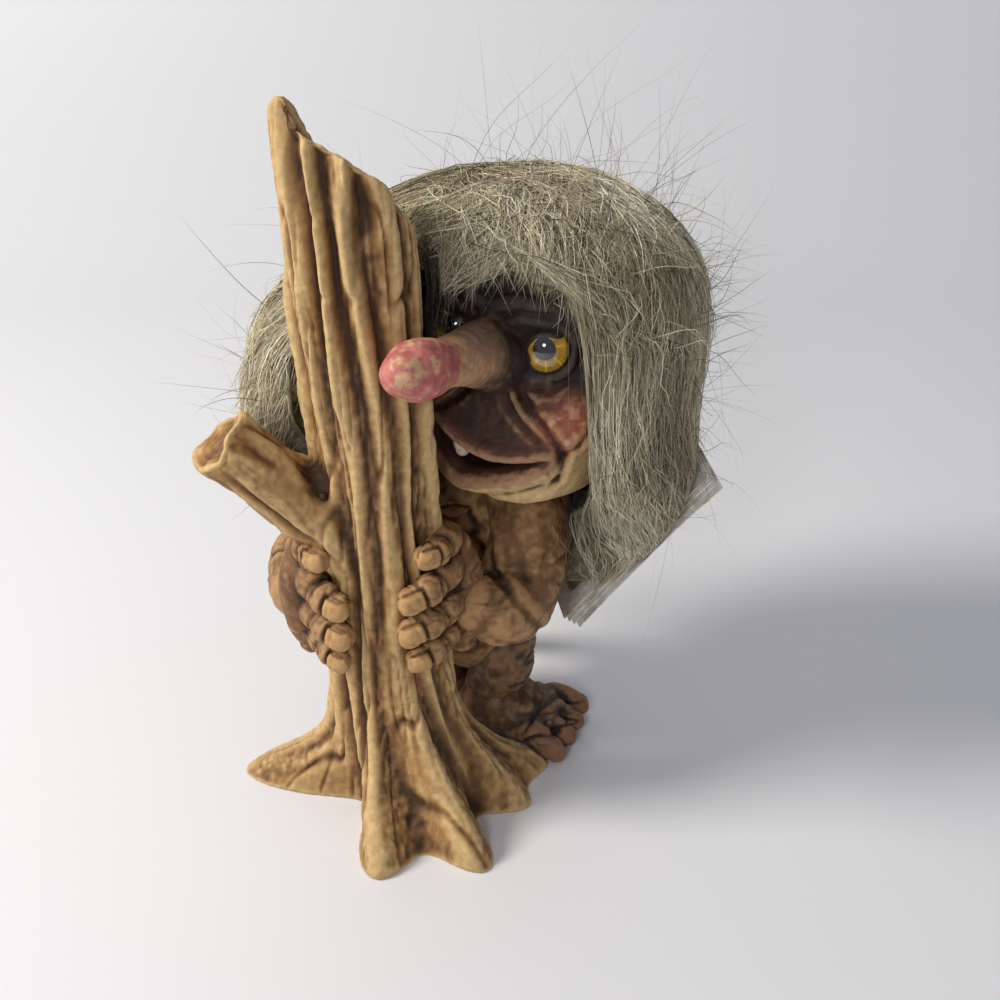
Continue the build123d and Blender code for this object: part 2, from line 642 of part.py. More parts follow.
with BuildPart() as tail_tuft:
    tuft_stations = (
        (tail_end, 0.85 * TAIL_RADIUS),
        (tail_end + Vector(-7, 0, 0), 1.4 * TAIL_RADIUS),
        (tail_end + Vector(-14, -1, -1), 1.1 * TAIL_RADIUS),
        (tail_end + Vector(-22, -3, -3), 0.3 * TAIL_RADIUS),
    )
    loft(sections=limb_sections(tuft_stations))
    add(tail.part, mode=Mode.SUBTRACT)
tail_tuft.part.label = "tail_tuft"
export_step(tail_tuft.part, "parts/tail_tuft.step")

# Wig: a woven backing on the skull with the fur falling from it
face_plane = Plane(origin=on_face(0.12 * HEAD_DEPTH_FRONT, 0, 0), x_dir=left_hand_way, z_dir=facing)
brow_level = HEAD_BASE + 0.86 * HEAD_HEIGHT
window_half = 0.92 * HEAD_HALF_WIDTH
front_plane = Plane(origin=on_face(0.84 * HEAD_DEPTH_FRONT, 0, 0), x_dir=left_hand_way, z_dir=facing)
with BuildPart() as face_window:
    # The fur opens where the face looks, and past the cheek straight to the front of the figure
    for window_plane, window_way in ((face_plane, facing), (front_plane, Vector(0, -1, 0))):
        with BuildSketch(window_plane):
            with BuildLine():
                Line((-window_half, 0), (window_half, 0))
                Line((window_half, 0), (window_half, brow_level - 10))
                ThreePointArc(
                    (window_half, brow_level - 10),
                    (0, brow_level),
                    (-window_half, brow_level - 10),
                )
                Line((-window_half, brow_level - 10), (-window_half, 0))
            make_face()
        extrude(amount=4 * HEAD_DEPTH_FRONT, dir=window_way)

with BuildPart() as wig_backing:
    loft(sections=head_rings(BACKING_THICKNESS))
    loft(sections=head_rings(0), mode=Mode.SUBTRACT)
    add(face_window.part, mode=Mode.SUBTRACT)
    split(bisect_by=Plane.XY.offset(HEAD_BASE + 0.22 * HEAD_HEIGHT), keep=Keep.TOP)
wig_backing.part.label = "wig_backing"
export_step(wig_backing.part, "parts/wig_backing.step")

# Tag directions: along its long edge, then back along its short edge to the spine
tag_long = Vector(
    math.cos(math.radians(TAG_SLOPE)) * math.cos(math.radians(TAG_TURN)),
    math.cos(math.radians(TAG_SLOPE)) * math.sin(math.radians(TAG_TURN)),
    math.sin(math.radians(TAG_SLOPE)),
)
tag_level_back = Vector(-math.sin(math.radians(TAG_TURN)), math.cos(math.radians(TAG_TURN)), 0)
tag_flat_up = tag_long.cross(tag_level_back)
tag_up = tag_flat_up * math.cos(math.radians(TAG_BACK_RISE))
tag_up = tag_up - tag_level_back * math.sin(math.radians(TAG_BACK_RISE))
tag_back = tag_up.cross(tag_long)
tag_corner = Vector(*TAG_LOW_CORNER)
tag_spine = tag_corner + tag_back * TAG_WIDTH + tag_long * (TAG_LENGTH / 2)
tag_plane = Plane(origin=tag_spine, x_dir=tag_long, z_dir=tag_up)

HAIR_SHAPE = (
    # share of the fall from the top, then left, right, front and back limits
    (0.00, 24.0, 54.0, 26.0, 54.0),
    (0.03, 8.0, 67.0, 13.0, 68.0),
    (0.08, -7.0, 78.0, 2.0, 78.0),
    (0.17, -24.0, 91.0, -7.0, 88.0),
    (0.31, -43.0, 99.0, -12.0, 95.0),
    (0.46, -50.0, 101.0, -13.0, 97.0),
    (0.60, -48.0, 99.0, -9.0, 96.0),
    (0.72, -34.0, 95.0, 0.0, 93.0),
    (0.86, -4.0, 88.0, 12.0, 87.0),
    (1.00, 22.0, 76.0, 30.0, 76.0),
)


def hair_point(step, left, right, front, back):
    angle = math.radians(360.0 * step / HEAD_POINTS)
    middle_x = (left + right) / 2
    middle_y = 0.45 * back + 0.55 * front
    across = math.cos(angle) / (0.5 * (right - left))
    deep = math.sin(angle) / (back - middle_y if math.sin(angle) > 0 else middle_y - front)
    reach = (abs(across) ** 2.3 + abs(deep) ** 2.3) ** (-1 / 2.3)
    return (middle_x + reach * math.cos(angle), middle_y + reach * math.sin(angle))


with BuildPart() as hair_mass:
    hair_rings = []
    for share, left, right, front, back in HAIR_SHAPE:
        hair_outline = [hair_point(i, left, right, front, back) for i in range(HEAD_POINTS)]
        hair_rings.append(ring(hair_outline, HAIR_TOP - share * HAIR_FALL))
    loft(sections=hair_rings)
    loft(sections=head_rings(BACKING_THICKNESS), mode=Mode.SUBTRACT)
    add(face_window.part, mode=Mode.SUBTRACT)
    # Room for the stem, its stub, the body and the arms
    stem_room = []
    for share in (0.0, 0.4, 0.6, 0.72, 0.82, 0.94):
        level = share * TRUNK_HEIGHT
        stem_room.append((stem_centre(level), stem_radius(level) + 1.2 * RIDGE_HEIGHT + HAIR_CLEARANCE))
    loft(sections=limb_sections(stem_room), mode=Mode.SUBTRACT)
    stub_room = []
    for share in (0.0, 0.5, 1.0):
        stub_spot = stub_plane.origin + stub_plane.z_dir * (share * (STUB_LENGTH + 20.0))
        stub_room.append((stub_spot, 1.2 * STUB_RADIUS + HAIR_CLEARANCE))
    loft(sections=limb_sections(stub_room), mode=Mode.SUBTRACT)
    add(troll_torso.part, mode=Mode.SUBTRACT)
    add(left_arm.part, mode=Mode.SUBTRACT)
    add(right_arm.part, mode=Mode.SUBTRACT)
    # The fur lies on the upper face of the tag and leaves its underside free
    with BuildSketch(tag_plane.offset(HAIR_CLEARANCE)):
        with Locations((0, 2 * SPINE_RADIUS)):
            Rectangle(3 * TAG_LENGTH, 3 * TAG_WIDTH, align=(Align.CENTER, Align.MAX))
    extrude(amount=-3 * TAG_WIDTH, mode=Mode.SUBTRACT)

# The fur parts into a crown, a fringe, two side falls and a back fall
crown_plane = Plane.XY.offset(HEAD_BASE + 0.94 * HEAD_HEIGHT)
nape_plane = Plane(origin=on_face(-0.60 * HEAD_DEPTH_BACK, 0, 0), z_dir=facing)
parting_plane = Plane(origin=on_face(0, 0, 0), z_dir=left_hand_way)
fringe_plane = Plane(
    origin=on_face(0.50 * HEAD_DEPTH_FRONT, 0, brow_level - 46), x_dir=left_hand_way, z_dir=facing
)
with BuildPart() as fringe_zone:
    with BuildSketch(fringe_plane):
        Rectangle(2.1 * HEAD_HALF_WIDTH, 2 * HEAD_HEIGHT, align=(Align.CENTER, Align.MIN))
    extrude(amount=3 * HEAD_DEPTH_FRONT)

with BuildPart() as hair_crown:
    add(hair_mass.part)
    split(bisect_by=crown_plane, keep=Keep.TOP)
hair_crown.part.label = "hair_crown"
export_step(hair_crown.part, "parts/hair_crown.step")

with BuildPart() as hair_fringe:
    add(hair_mass.part)
    split(bisect_by=crown_plane, keep=Keep.BOTTOM)
    add(fringe_zone.part, mode=Mode.INTERSECT)
hair_fringe.part.label = "hair_fringe"
export_step(hair_fringe.part, "parts/hair_fringe.step")

with BuildPart() as hair_left_side:
    add(hair_mass.part)
    split(bisect_by=crown_plane, keep=Keep.BOTTOM)
    split(bisect_by=nape_plane, keep=Keep.TOP)
    split(bisect_by=parting_plane, keep=Keep.TOP)
    add(fringe_zone.part, mode=Mode.SUBTRACT)
hair_left_side.part.label = "hair_left_side"
export_step(hair_left_side.part, "parts/hair_left_side.step")

with BuildPart() as hair_right_side:
    add(hair_mass.part)
    split(bisect_by=crown_plane, keep=Keep.BOTTOM)
    split(bisect_by=nape_plane, keep=Keep.TOP)
    split(bisect_by=parting_plane, keep=Keep.BOTTOM)
    add(fringe_zone.part, mode=Mode.SUBTRACT)
hair_right_side.part.label = "hair_right_side"
export_step(hair_right_side.part, "parts/hair_right_side.step")

with BuildPart() as hair_back:
    add(hair_mass.part)
    split(bisect_by=crown_plane, keep=Keep.BOTTOM)
    split(bisect_by=nape_plane, keep=Keep.BOTTOM)
hair_back.part.label = "hair_back"
export_step(hair_back.part, "parts/hair_back.step")

# Booklet tag: four leaves that turn about the spine bead of the front leaf
leaf_pitch = LEAF_THICKNESS + LEAF_GAP
spine_depth = 0.5 * LEAF_THICKNESS + 1.5 * leaf_pitch
with BuildPart() as tag_front_leaf:
    with BuildSketch(tag_plane):
        Rectangle(TAG_LENGTH, TAG_WIDTH, align=(Align.CENTER, Align.MAX))
    extrude(amount=-LEAF_THICKNESS)
    with BuildSketch(Plane(origin=tag_spine - tag_up * spine_depth, z_dir=tag_long)):
        Circle(SPINE_RADIUS)
    extrude(amount=TAG_LENGTH / 2, both=True)
tag_front_leaf.part.label = "tag_front_leaf"
export_step(tag_front_leaf.part, "parts/tag_front_leaf.step")

for place, leaf_name in ((1, "tag_second_leaf"), (2, "tag_third_leaf"), (3, "tag_back_leaf")):
    with BuildPart() as tag_leaf:
        with BuildSketch(tag_plane.offset(-place * leaf_pitch)):
            with Locations((place * LEAF_FAN * 0.4, -SPINE_RADIUS - SPINE_CLEARANCE)):
                leaf_width = TAG_WIDTH - SPINE_RADIUS - SPINE_CLEARANCE + place * LEAF_FAN
                Rectangle(TAG_LENGTH, leaf_width, align=(Align.CENTER, Align.MAX))
        extrude(amount=-LEAF_THICKNESS)
    tag_leaf.part.label = leaf_name
    export_step(tag_leaf.part, "parts/" + leaf_name + ".step")
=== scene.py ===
# %% [markdown]
# # A folk troll hugging a broken tree trunk
# The real figure is a casting of soft composition, painted by hand: ochre and tan on the high places,
# a thin dark brown wash that was wiped off so that it stays in the grooves. On the head is glued a wig
# of long grey-blond fur, and the eyes are clear domes with an amber back. A paper booklet hangs under
# the hair. We load the measured model first, because every piece below sits where it says.

# %% Load the measured model
import math
import bpy
import numpy as np
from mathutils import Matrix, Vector


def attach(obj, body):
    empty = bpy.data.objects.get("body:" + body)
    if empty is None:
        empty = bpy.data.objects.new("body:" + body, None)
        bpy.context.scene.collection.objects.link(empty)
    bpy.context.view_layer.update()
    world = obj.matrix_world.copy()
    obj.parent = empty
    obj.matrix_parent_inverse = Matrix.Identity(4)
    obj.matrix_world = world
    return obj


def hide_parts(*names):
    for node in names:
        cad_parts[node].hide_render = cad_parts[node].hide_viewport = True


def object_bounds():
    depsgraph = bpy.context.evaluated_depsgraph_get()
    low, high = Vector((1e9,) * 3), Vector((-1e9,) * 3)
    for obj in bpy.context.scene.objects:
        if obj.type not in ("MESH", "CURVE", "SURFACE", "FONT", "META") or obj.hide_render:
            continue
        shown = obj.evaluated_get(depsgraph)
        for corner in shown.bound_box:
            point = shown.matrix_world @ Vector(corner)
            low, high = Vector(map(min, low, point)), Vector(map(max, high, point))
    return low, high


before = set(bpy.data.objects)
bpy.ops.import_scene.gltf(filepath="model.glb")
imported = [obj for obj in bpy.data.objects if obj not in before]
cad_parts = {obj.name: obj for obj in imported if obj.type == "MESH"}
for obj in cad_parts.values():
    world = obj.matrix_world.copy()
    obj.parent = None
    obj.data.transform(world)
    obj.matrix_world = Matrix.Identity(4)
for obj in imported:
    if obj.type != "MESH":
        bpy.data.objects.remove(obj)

measured_box = [list(corner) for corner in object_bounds()]
MM = 0.001
scene = bpy.context.scene
scene.view_settings.view_transform = "Standard"
print("measured box", measured_box)

# %% [markdown]
# ## The camera
# The photograph looks down at the figure from about half a metre away, through a lens that is a little
# longer than normal. The picture is square, so the sensor width and the lens alone set the view.

# %% Camera
LOOK_DOWN = math.radians(28.5)
camera_data = bpy.data.cameras.new("photo_camera")
camera_data.lens = 61.2
camera_data.sensor_width = 36.0
camera_data.clip_start = 0.01
camera = bpy.data.objects.new("photo_camera", camera_data)
camera.location = (0.0312, -0.446, 0.349)
camera.rotation_euler = (math.radians(90.0) - LOOK_DOWN, 0.0, 0.0)
scene.collection.objects.link(camera)
scene.camera = camera
print("camera stands at", tuple(camera.location))

# %% [markdown]
# ## The studio
# A pale table that sweeps up into a grey wall, one wide soft light from the left and a weak one from
# the front, which also gives the glass eyes their bright point. The light stays plain, so that a colour
# renders about as it is written.

# %% Table, wall and lights
def simple_material(name, colour, roughness):
    material = bpy.data.materials.new(name)
    material.use_nodes = True
    shader = material.node_tree.nodes["Principled BSDF"]
    shader.inputs["Base Color"].default_value = (*colour, 1.0)
    shader.inputs["Roughness"].default_value = roughness
    return material


def sweep_table():
    profile = [(-1.2, 0.0), (0.42, 0.0)]
    for step in range(1, 13):
        turn = math.radians(90.0 * step / 12)
        profile.append((0.42 + 0.25 * math.sin(turn), 0.25 - 0.25 * math.cos(turn)))
    profile.append((0.67, 1.6))
    points = [(x, y, z) for y, z in profile for x in (-2.2, 2.2)]
    faces = [(2 * i, 2 * i + 1, 2 * i + 3, 2 * i + 2) for i in range(len(profile) - 1)]
    mesh = bpy.data.meshes.new("table_sweep")
    mesh.from_pydata(points, [], faces)
    mesh.shade_smooth()
    sweep = bpy.data.objects.new("table_sweep", mesh)
    scene.collection.objects.link(sweep)
    return sweep


table = sweep_table()
table.data.materials.append(simple_material("pale_table", (0.80, 0.80, 0.82), 0.55))


def area_light(name, place, target, size, watts, colour):
    data = bpy.data.lights.new(name, "AREA")
    data.shape = "DISK"
    data.size = size
    data.energy = watts
    data.color = colour
    light = bpy.data.objects.new(name, data)
    light.location = place
    light.rotation_euler = (Vector(target) - Vector(place)).to_track_quat("-Z", "Y").to_euler()
    scene.collection.objects.link(light)
    return light


area_light("window_light", (-0.75, -0.12, 0.75), (0.0, 0.0, 0.10), 0.34, 9.4, (1.0, 0.96, 0.90))
area_light("front_light", (-0.22, -0.98, 0.66), (0.02, 0.0, 0.13), 0.24, 2.8, (0.96, 0.98, 1.0))
world = bpy.data.worlds.new("room")
scene.world = world
world.use_nodes = True
world.node_tree.nodes["Background"].inputs["Color"].default_value = (0.90, 0.93, 1.0, 1.0)
world.node_tree.nodes["Background"].inputs["Strength"].default_value = 0.30
print("table, two lights and room light set")

# %% [markdown]
# ## Noise for carving
# The carver's knife leaves lines that wander, so we need a noise that is smooth, repeatable and quick
# on many points. It hashes the corners of a grid and eases between them.

# %% Smooth noise
def smooth_noise(places, seed):
    cell = np.floor(places).astype(np.int64)
    part = places - cell
    ease = part * part * (3.0 - 2.0 * part)
    total = np.zeros(len(places))
    for corner in np.ndindex(2, 2, 2):
        spot = cell + np.array(corner)
        mixed = spot[:, 0] * 374761393 + spot[:, 1] * 668265263 + spot[:, 2] * 1274126177 + seed * 974634777
        mixed = (mixed ^ (mixed >> 13)) & 0xFFFFFFFF
        mixed = (mixed * 1103515245 + 12345) & 0xFFFFFFFF
        value = ((mixed >> 8) & 0xFFFF) / 32767.5 - 1.0
        weight = np.prod(np.where(np.array(corner) == 1, ease, 1.0 - ease), axis=1)
        total += value * weight
    return total


def layered_noise(places, seed, layers=3):
    total = np.zeros(len(places))
    for layer in range(layers):
        total += smooth_noise(places * 2.0 ** layer, seed + layer) * 0.5 ** layer
    return total


def ease_between(low, high, value):
    part = np.clip((value - low) / (high - low), 0.0, 1.0)
    return part * part * (3.0 - 2.0 * part)


def hump(offset, spread):
    return np.exp(-0.5 * (offset / spread) ** 2)


print("a sample of the noise", layered_noise(np.array([[0.3, 0.5, 0.7]]), 1))

# %% [markdown]
# ## The trunk's mass
# The trunk is modelled like clay: first the plain mass, then the carving. The mass repeats the measured
# outline: a leaning stem and six roots that reach out along the floor. A function gives the skin for any heading
# and level, so the carving further down can ask it again.

# %% Trunk outline
TRUNK_HEIGHT = 230.0
STEM_RADIUS = 17.5
ROOTS = (
    # heading in degrees, reach, spread in degrees, height of the flare
    (170, 38, 14, 14), (-98, 32, 14.5, 19), (-57, 35, 12.5, 23), (-15, 25, 12, 27), (16, 32, 12, 18),
    (128, 17, 15, 14))


def stem_radius(level):
    return STEM_RADIUS * (0.94 + 0.14 * hump(level - 0.82 * TRUNK_HEIGHT, 0.2 * TRUNK_HEIGHT))


def stem_centre_x(level):
    return -1.8 - 0.042 * level


def stem_reach(angle, level):
    return stem_radius(level) / np.hypot(np.cos(angle), np.sin(angle) / 0.90)


def root_flare(level, height=13.0):
    return 0.65 * np.exp(-((level / height) ** 2)) + 0.35 * np.exp(-level / (1.7 * height))


def trunk_skin(angle, level):
    reach = stem_reach(angle, level)
    flare = root_flare(level)
    for heading, length, spread, height in ROOTS:
        off = (np.degrees(angle) - heading + 180.0) % 360.0 - 180.0
        reach = reach + length * root_flare(level, height) * hump(off, spread)
    x = stem_centre_x(level) * (1.0 - flare) + reach * np.cos(angle)
    return x, reach * np.sin(angle)


print("stem radius at the floor and on top", stem_radius(0.0), stem_radius(TRUNK_HEIGHT))

# %% [markdown]
# ## The broken top
# The stem snapped and left one tall splinter at its front. For every place in plan there is one height of the
# break: the lower of a line drawn across the front and a line drawn from front to back.

# %% Broken top
BREAK_LEVEL = 212.0


def break_height(x, y):
    left = stem_centre_x(TRUNK_HEIGHT) - stem_radius(TRUNK_HEIGHT)
    right = stem_centre_x(TRUNK_HEIGHT) + stem_radius(TRUNK_HEIGHT)
    along = np.interp(
        x,
        [left - 4, left - 2, left + 3.2, left + 6, left + 9, left + 19.8, right - 4, right + 6],
        [224, 226, 232.5, 228, 219, 212, 204.5, 191.5],
    )
    across = np.interp(y, [-18, -14, -10, -5, 5, 12, 18], [216, 224, 231.5, 232, 222, 212, 204])
    # The whole break falls away to the back
    return np.minimum(along - 0.7 * (y + 8.75), across)


print("break in the middle of the stem at", break_height(stem_centre_x(BREAK_LEVEL), 0.0))

# %% [markdown]
# ## Rings become a skin
# Many masses here are stacks of rings with the same number of points. Quads join each ring to the next, and one
# face closes each end. The trunk's rings follow its break, and the last ones lie on the break itself.

# %% Rings of the trunk
def grid_faces(rows, columns):
    row, column = np.meshgrid(np.arange(rows - 1), np.arange(columns), indexing="ij")
    ahead = (column + 1) % columns
    quads = np.stack(
        [row * columns + column, row * columns + ahead, (row + 1) * columns + ahead, (row + 1) * columns + column],
        axis=-1,
    )
    return quads.reshape(-1, 4).tolist()


def closed_skin(rings):
    columns = len(rings[0])
    points = np.concatenate(rings)
    ends = [list(range(columns))[::-1], list(range(len(points) - columns, len(points)))]
    return points, grid_faces(len(rings), columns) + ends


def trunk_mass():
    angle = np.linspace(0.0, 2.0 * np.pi, 240, endpoint=False)
    rim_x, rim_y = trunk_skin(angle, BREAK_LEVEL)
    rim = break_height(rim_x, rim_y) - 1.0
    rings = []
    for share in np.linspace(0.0, 1.0, 150) ** 1.15:
        x, y = trunk_skin(angle, rim * share)
        rings.append(np.stack([x, y, rim * share], axis=1))
    top = rings[-1]
    middle = np.array([stem_centre_x(BREAK_LEVEL), 0.0])
    for share in (0.93, 0.82, 0.68, 0.52, 0.35, 0.18, 0.02):
        flat = middle + (top[:, :2] - middle) * share
        rings.append(np.column_stack([flat, break_height(flat[:, 0], flat[:, 1])]))
    return closed_skin(rings)


trunk_points, trunk_faces = trunk_mass()
print("trunk mass", len(trunk_points), "points, height", trunk_points[:, 2].max())

# %% [markdown]
# ## The branch stub
# A short broken branch leaves the stem on one side and flares at its ragged end. It is a tube of rings
# round its own axis, closed by a dished end. It starts deep inside the stem, so that the two masses
# run into each other.

# %% Branch stub
STUB_SIDES = 72
STUB_START = np.array([stem_centre_x(87.0), 0.0, 87.0])
STUB_WAY = np.array([-math.cos(math.radians(44)), -0.10, math.sin(math.radians(44))])
STUB_WAY = STUB_WAY / np.linalg.norm(STUB_WAY)
STUB_SIDE = np.cross(STUB_WAY, [0.0, 1.0, 0.0])
STUB_SIDE = STUB_SIDE / np.linalg.norm(STUB_SIDE)
STUB_FRONT = np.cross(STUB_SIDE, STUB_WAY)


def stub_mass():
    turn = np.linspace(0.0, 2.0 * np.pi, STUB_SIDES, endpoint=False)
    ragged = 1.3 * np.sin(2 * turn + 0.6) + 0.7 * np.sin(5 * turn)
    rings = []
    stations = [(0, 13.8), (12, 13.3), (24, 12.2), (36, 11.0), (46, 10.8), (54, 11.3), (60, 12.2), (62, 11.8)]
    stations += [(62.6, 10.2), (62.0, 8.0), (61.2, 5.0), (60.8, 0.5)]
    for along, radius in stations:
        wave = ragged if along > 55 else 0.0
        ring = STUB_START + np.outer(along + wave * min(1.0, radius / 9.0), STUB_WAY) * np.ones((STUB_SIDES, 1))
        ring = ring + np.outer(radius * np.cos(turn), STUB_SIDE) + np.outer(radius * np.sin(turn), STUB_FRONT)
        rings.append(ring)
    return closed_skin(rings)


stub_points, stub_faces = stub_mass()
print("stub", len(stub_points), "points")

# %% [markdown]
# ## Kneading lumps into one skin
# Clay lumps that overlap become one body when they are kneaded. A voxel remesh does the same to meshes:
# it keeps the outer skin and gives it an even net of small faces, ready for carving.

# %% Kneading
def clay(name, lumps, voxel):
    points, faces, first = [], [], 0
    for lump_points, lump_faces in lumps:
        points.append(lump_points)
        faces += [[i + first for i in face] for face in lump_faces]
        first += len(lump_points)
    mesh = bpy.data.meshes.new(name)
    mesh.from_pydata((np.concatenate(points) * MM).tolist(), [], faces)
    piece = bpy.data.objects.new(name, mesh)
    scene.collection.objects.link(piece)
    knead = piece.modifiers.new("knead", "REMESH")
    knead.mode = "VOXEL"
    knead.voxel_size = voxel * MM
    settled = piece.evaluated_get(bpy.context.evaluated_depsgraph_get())
    kneaded = bpy.data.meshes.new_from_object(settled)
    piece.modifiers.clear()
    piece.data = kneaded
    kneaded.name = name
    kneaded.shade_smooth()
    return piece


# %% [markdown]
# Carving moves many points at once, so small helpers read and write all points of a piece together. Softening pulls
# every point towards the middle of its neighbours, as a wet finger does on clay.

# %% Points of a skin
def points_of(piece):
    flat = np.empty(3 * len(piece.data.vertices))
    piece.data.vertices.foreach_get("co", flat)
    return flat.reshape(-1, 3) / MM


def normals_of(piece):
    flat = np.empty(3 * len(piece.data.vertices), dtype=np.float32)
    piece.data.vertex_normals.foreach_get("vector", flat)
    return flat.reshape(-1, 3).astype(float)


def edges_of(piece):
    flat = np.empty(2 * len(piece.data.edges), dtype=np.int32)
    piece.data.edges.foreach_get("vertices", flat)
    return flat.reshape(-1, 2)


def set_points(piece, points):
    piece.data.vertices.foreach_set("co", (points * MM).ravel())
    piece.data.update()


def soften(values, edges, times, share=1.0):
    count = np.maximum(np.bincount(edges.ravel(), minlength=len(values)), 1)
    values = values.copy()
    for _ in range(times):
        for column in range(values.shape[1]):
            line = values[:, column]
            total = np.bincount(edges[:, 0], line[edges[:, 1]], len(line))
            total += np.bincount(edges[:, 1], line[edges[:, 0]], len(line))
            values[:, column] = line + share * (total / count - line)
    return values


trunk = clay("tree_trunk_carved", [(trunk_points, trunk_faces), (stub_points, stub_faces)], 0.62)
set_points(trunk, soften(points_of(trunk), edges_of(trunk), 6))
print("kneaded trunk", len(trunk.data.vertices), "points")

# %% [markdown]
# ## Carving the bark
# Dead wood without bark has long smooth ridges with narrow grooves between them, which wander, fork and
# run out along the roots. A stretched noise has such lines where it passes through zero. We follow those
# lines round the stem, and along the stub round its own axis, and press them into the skin.

# %% Ridges along the stem
RIDGES = 11


def groove(noise, width):
    return np.exp(-((noise / width) ** 2))


def stem_cut(points, level, flare, angle):
    around = np.column_stack([np.cos(angle), np.sin(angle)])
    # The ridges run the whole length; noise bends them and lets each one swell and fade
    phase = RIDGES * angle + np.radians(1.1 * level)
    phase += 2.3 * smooth_noise(np.column_stack([around * 1.7, level / 46.0]), 3)
    phase += 0.9 * smooth_noise(np.column_stack([around * 3.6, level / 21.0]), 5)
    crest = 0.5 + 0.5 * np.cos(phase)
    ridge = np.round(phase / (2 * np.pi))
    swell = 0.80 + 0.46 * smooth_noise(np.column_stack([ridge * 0.77, level / 42.0, 0 * level]), 17)
    # Towards the light the ridges are broad, on the other side the valleys are
    worn_side = 0.5 + 0.5 * np.cos(angle - math.radians(-48.0))
    form = (1.0 - worn_side) * (1.0 - (1.0 - crest) ** 2) + worn_side * crest ** 1.3
    half = smooth_noise(np.column_stack([around * 4.4, level / 27.0]), 7)
    fine = smooth_noise(np.column_stack([around * 8.0, level / 24.0]), 8)
    rough = 0.38 * (1.1 - crest) * layered_noise(points / np.array([1.8, 1.8, 4.0]), 43, 2)
    lip = 1.0 - 0.6 * flare
    cut = (1.9 - 3.7 * swell * form) * lip + 1.0 * groove(half, 0.13) * (0.3 + crest)
    return cut + 0.6 * groove(fine, 0.15) + rough


print("ridges round the stem", RIDGES)

# %% [markdown]
# The stub has its own lines along its own axis, and faint rings of growth on its broken end.

# %% Lines along the stub
def stub_cut(points, normals, level, angle):
    rel = points - STUB_START
    along = rel @ STUB_WAY
    side, front = rel @ STUB_SIDE, rel @ STUB_FRONT
    from_axis = np.hypot(side, front)
    beyond = np.hypot(points[:, 0] - stem_centre_x(level), points[:, 1]) - stem_reach(angle, level)
    on_stub = ease_between(1.0, 7.0, beyond) * ease_between(17.0, 15.0, from_axis) * ease_between(20.0, 28.0, along)
    turn = np.arctan2(front, side)
    stub_round = np.column_stack([np.cos(turn) * 1.25, np.sin(turn) * 1.25, along / 40.0])
    stub_noise = smooth_noise(stub_round + 40.0, 21) + 0.3 * smooth_noise(stub_round * 2.3, 22)
    lines = 1.5 * groove(stub_noise, 0.22) + 0.3 * groove(smooth_noise(stub_round * 3.0, 24), 0.2)
    end_face = ease_between(0.72, 0.9, normals @ STUB_WAY) * on_stub
    rings = np.sin(from_axis * 2.4 + 1.5 * smooth_noise(points / 6.0, 26))
    return lines * (1.0 - end_face) + 0.10 * rings * end_face, on_stub


# %% [markdown]
# Stem and stub are carved in one pass. The break is splintered rather than grooved, the flat underside stays flat,
# and under the rim a thumb has pressed one soft hollow.

# %% Carving the trunk
def carve_trunk(piece):
    points, normals = points_of(piece), normals_of(piece)
    level = points[:, 2]
    flare = root_flare(level)
    angle = np.arctan2(points[:, 1], points[:, 0] - stem_centre_x(level) * (1.0 - flare))
    sway = layered_noise(np.column_stack([np.cos(angle) * 0.8, np.sin(angle) * 0.8, level / 55.0]), 11, 2)
    angle = angle + 0.08 * sway
    along_stub, on_stub = stub_cut(points, normals, level, angle)
    cut = stem_cut(points, level, flare, angle) * (1.0 - on_stub) + along_stub * on_stub
    broken = ease_between(0.45, 0.8, normals[:, 2]) * ease_between(186.0, 196.0, level)
    splinter = smooth_noise(points / np.array([2.2, 3.4, 9.0]), 31) + 0.5 * smooth_noise(points / 1.6, 32)
    cut = cut * (1.0 - broken) + 0.4 * splinter * broken
    cut += 0.16 * layered_noise(points / 2.2, 41, 2)
    cut *= ease_between(0.0, 2.5, level)
    moved = points - normals * cut[:, None]
    moved[:, 2] = np.maximum(moved[:, 2], 0.0)
    return moved


def press_hollow(points, place, sizes, depth):
    off = (points - np.array(place)) / np.array(sizes)
    far = np.sqrt((off ** 2).sum(axis=1))
    inside = np.exp(-(far ** 3))
    rim = 0.15 * np.exp(-(((far - 1.25) / 0.35) ** 2))
    points = points.copy()
    points[:, 1] += depth * (inside - rim)
    return points


carved = carve_trunk(trunk)
carved = press_hollow(carved, (-5.5, -17.0, 202.0), (5.5, 9.0, 8.0), 2.2)
set_points(trunk, carved)
print("carved trunk, top at", carved[:, 2].max())

# %% [markdown]
# ## The painter's wash
# On the real casting a thin dark glaze was brushed on and wiped off again. It stays in the hollows, and
# the ridges keep the light paint. A hollow is where the softened skin lies outside the carved one, so
# the distance between the two, at two scales, tells how much glaze is left there.

# %% Hollows and ridges
def hollows(piece, fine_steps=4, broad_steps=40):
    points, normals, edges = points_of(piece), normals_of(piece), edges_of(piece)
    fine = ((soften(points, edges, fine_steps) - points) * normals).sum(axis=1)
    broad = ((soften(points, edges, broad_steps) - points) * normals).sum(axis=1)
    fine = soften(fine[:, None], edges, 1)[:, 0]
    return fine, broad


def tint(red, green, blue):
    # A colour as it looks on the screen, 0 to 255, turned into linear light
    share = np.array([red, green, blue]) / 255.0
    return np.where(share <= 0.04045, share / 12.92, ((share + 0.055) / 1.055) ** 2.4)


def blend_tints(base, other, share):
    return base * (1.0 - share[:, None]) + other * share[:, None]


def paint(piece, colours):
    layer = piece.data.color_attributes.new("paint", "FLOAT_COLOR", "POINT")
    layer.data.foreach_set("color", np.column_stack([colours, np.ones(len(colours))]).ravel())


# %% [markdown]
# The trunk's coats in the painter's order: ochre ground, warmer patches, streaks along the grain, light rubbed
# on the ridges, and last the brown wash and its dark dregs in the hollows.

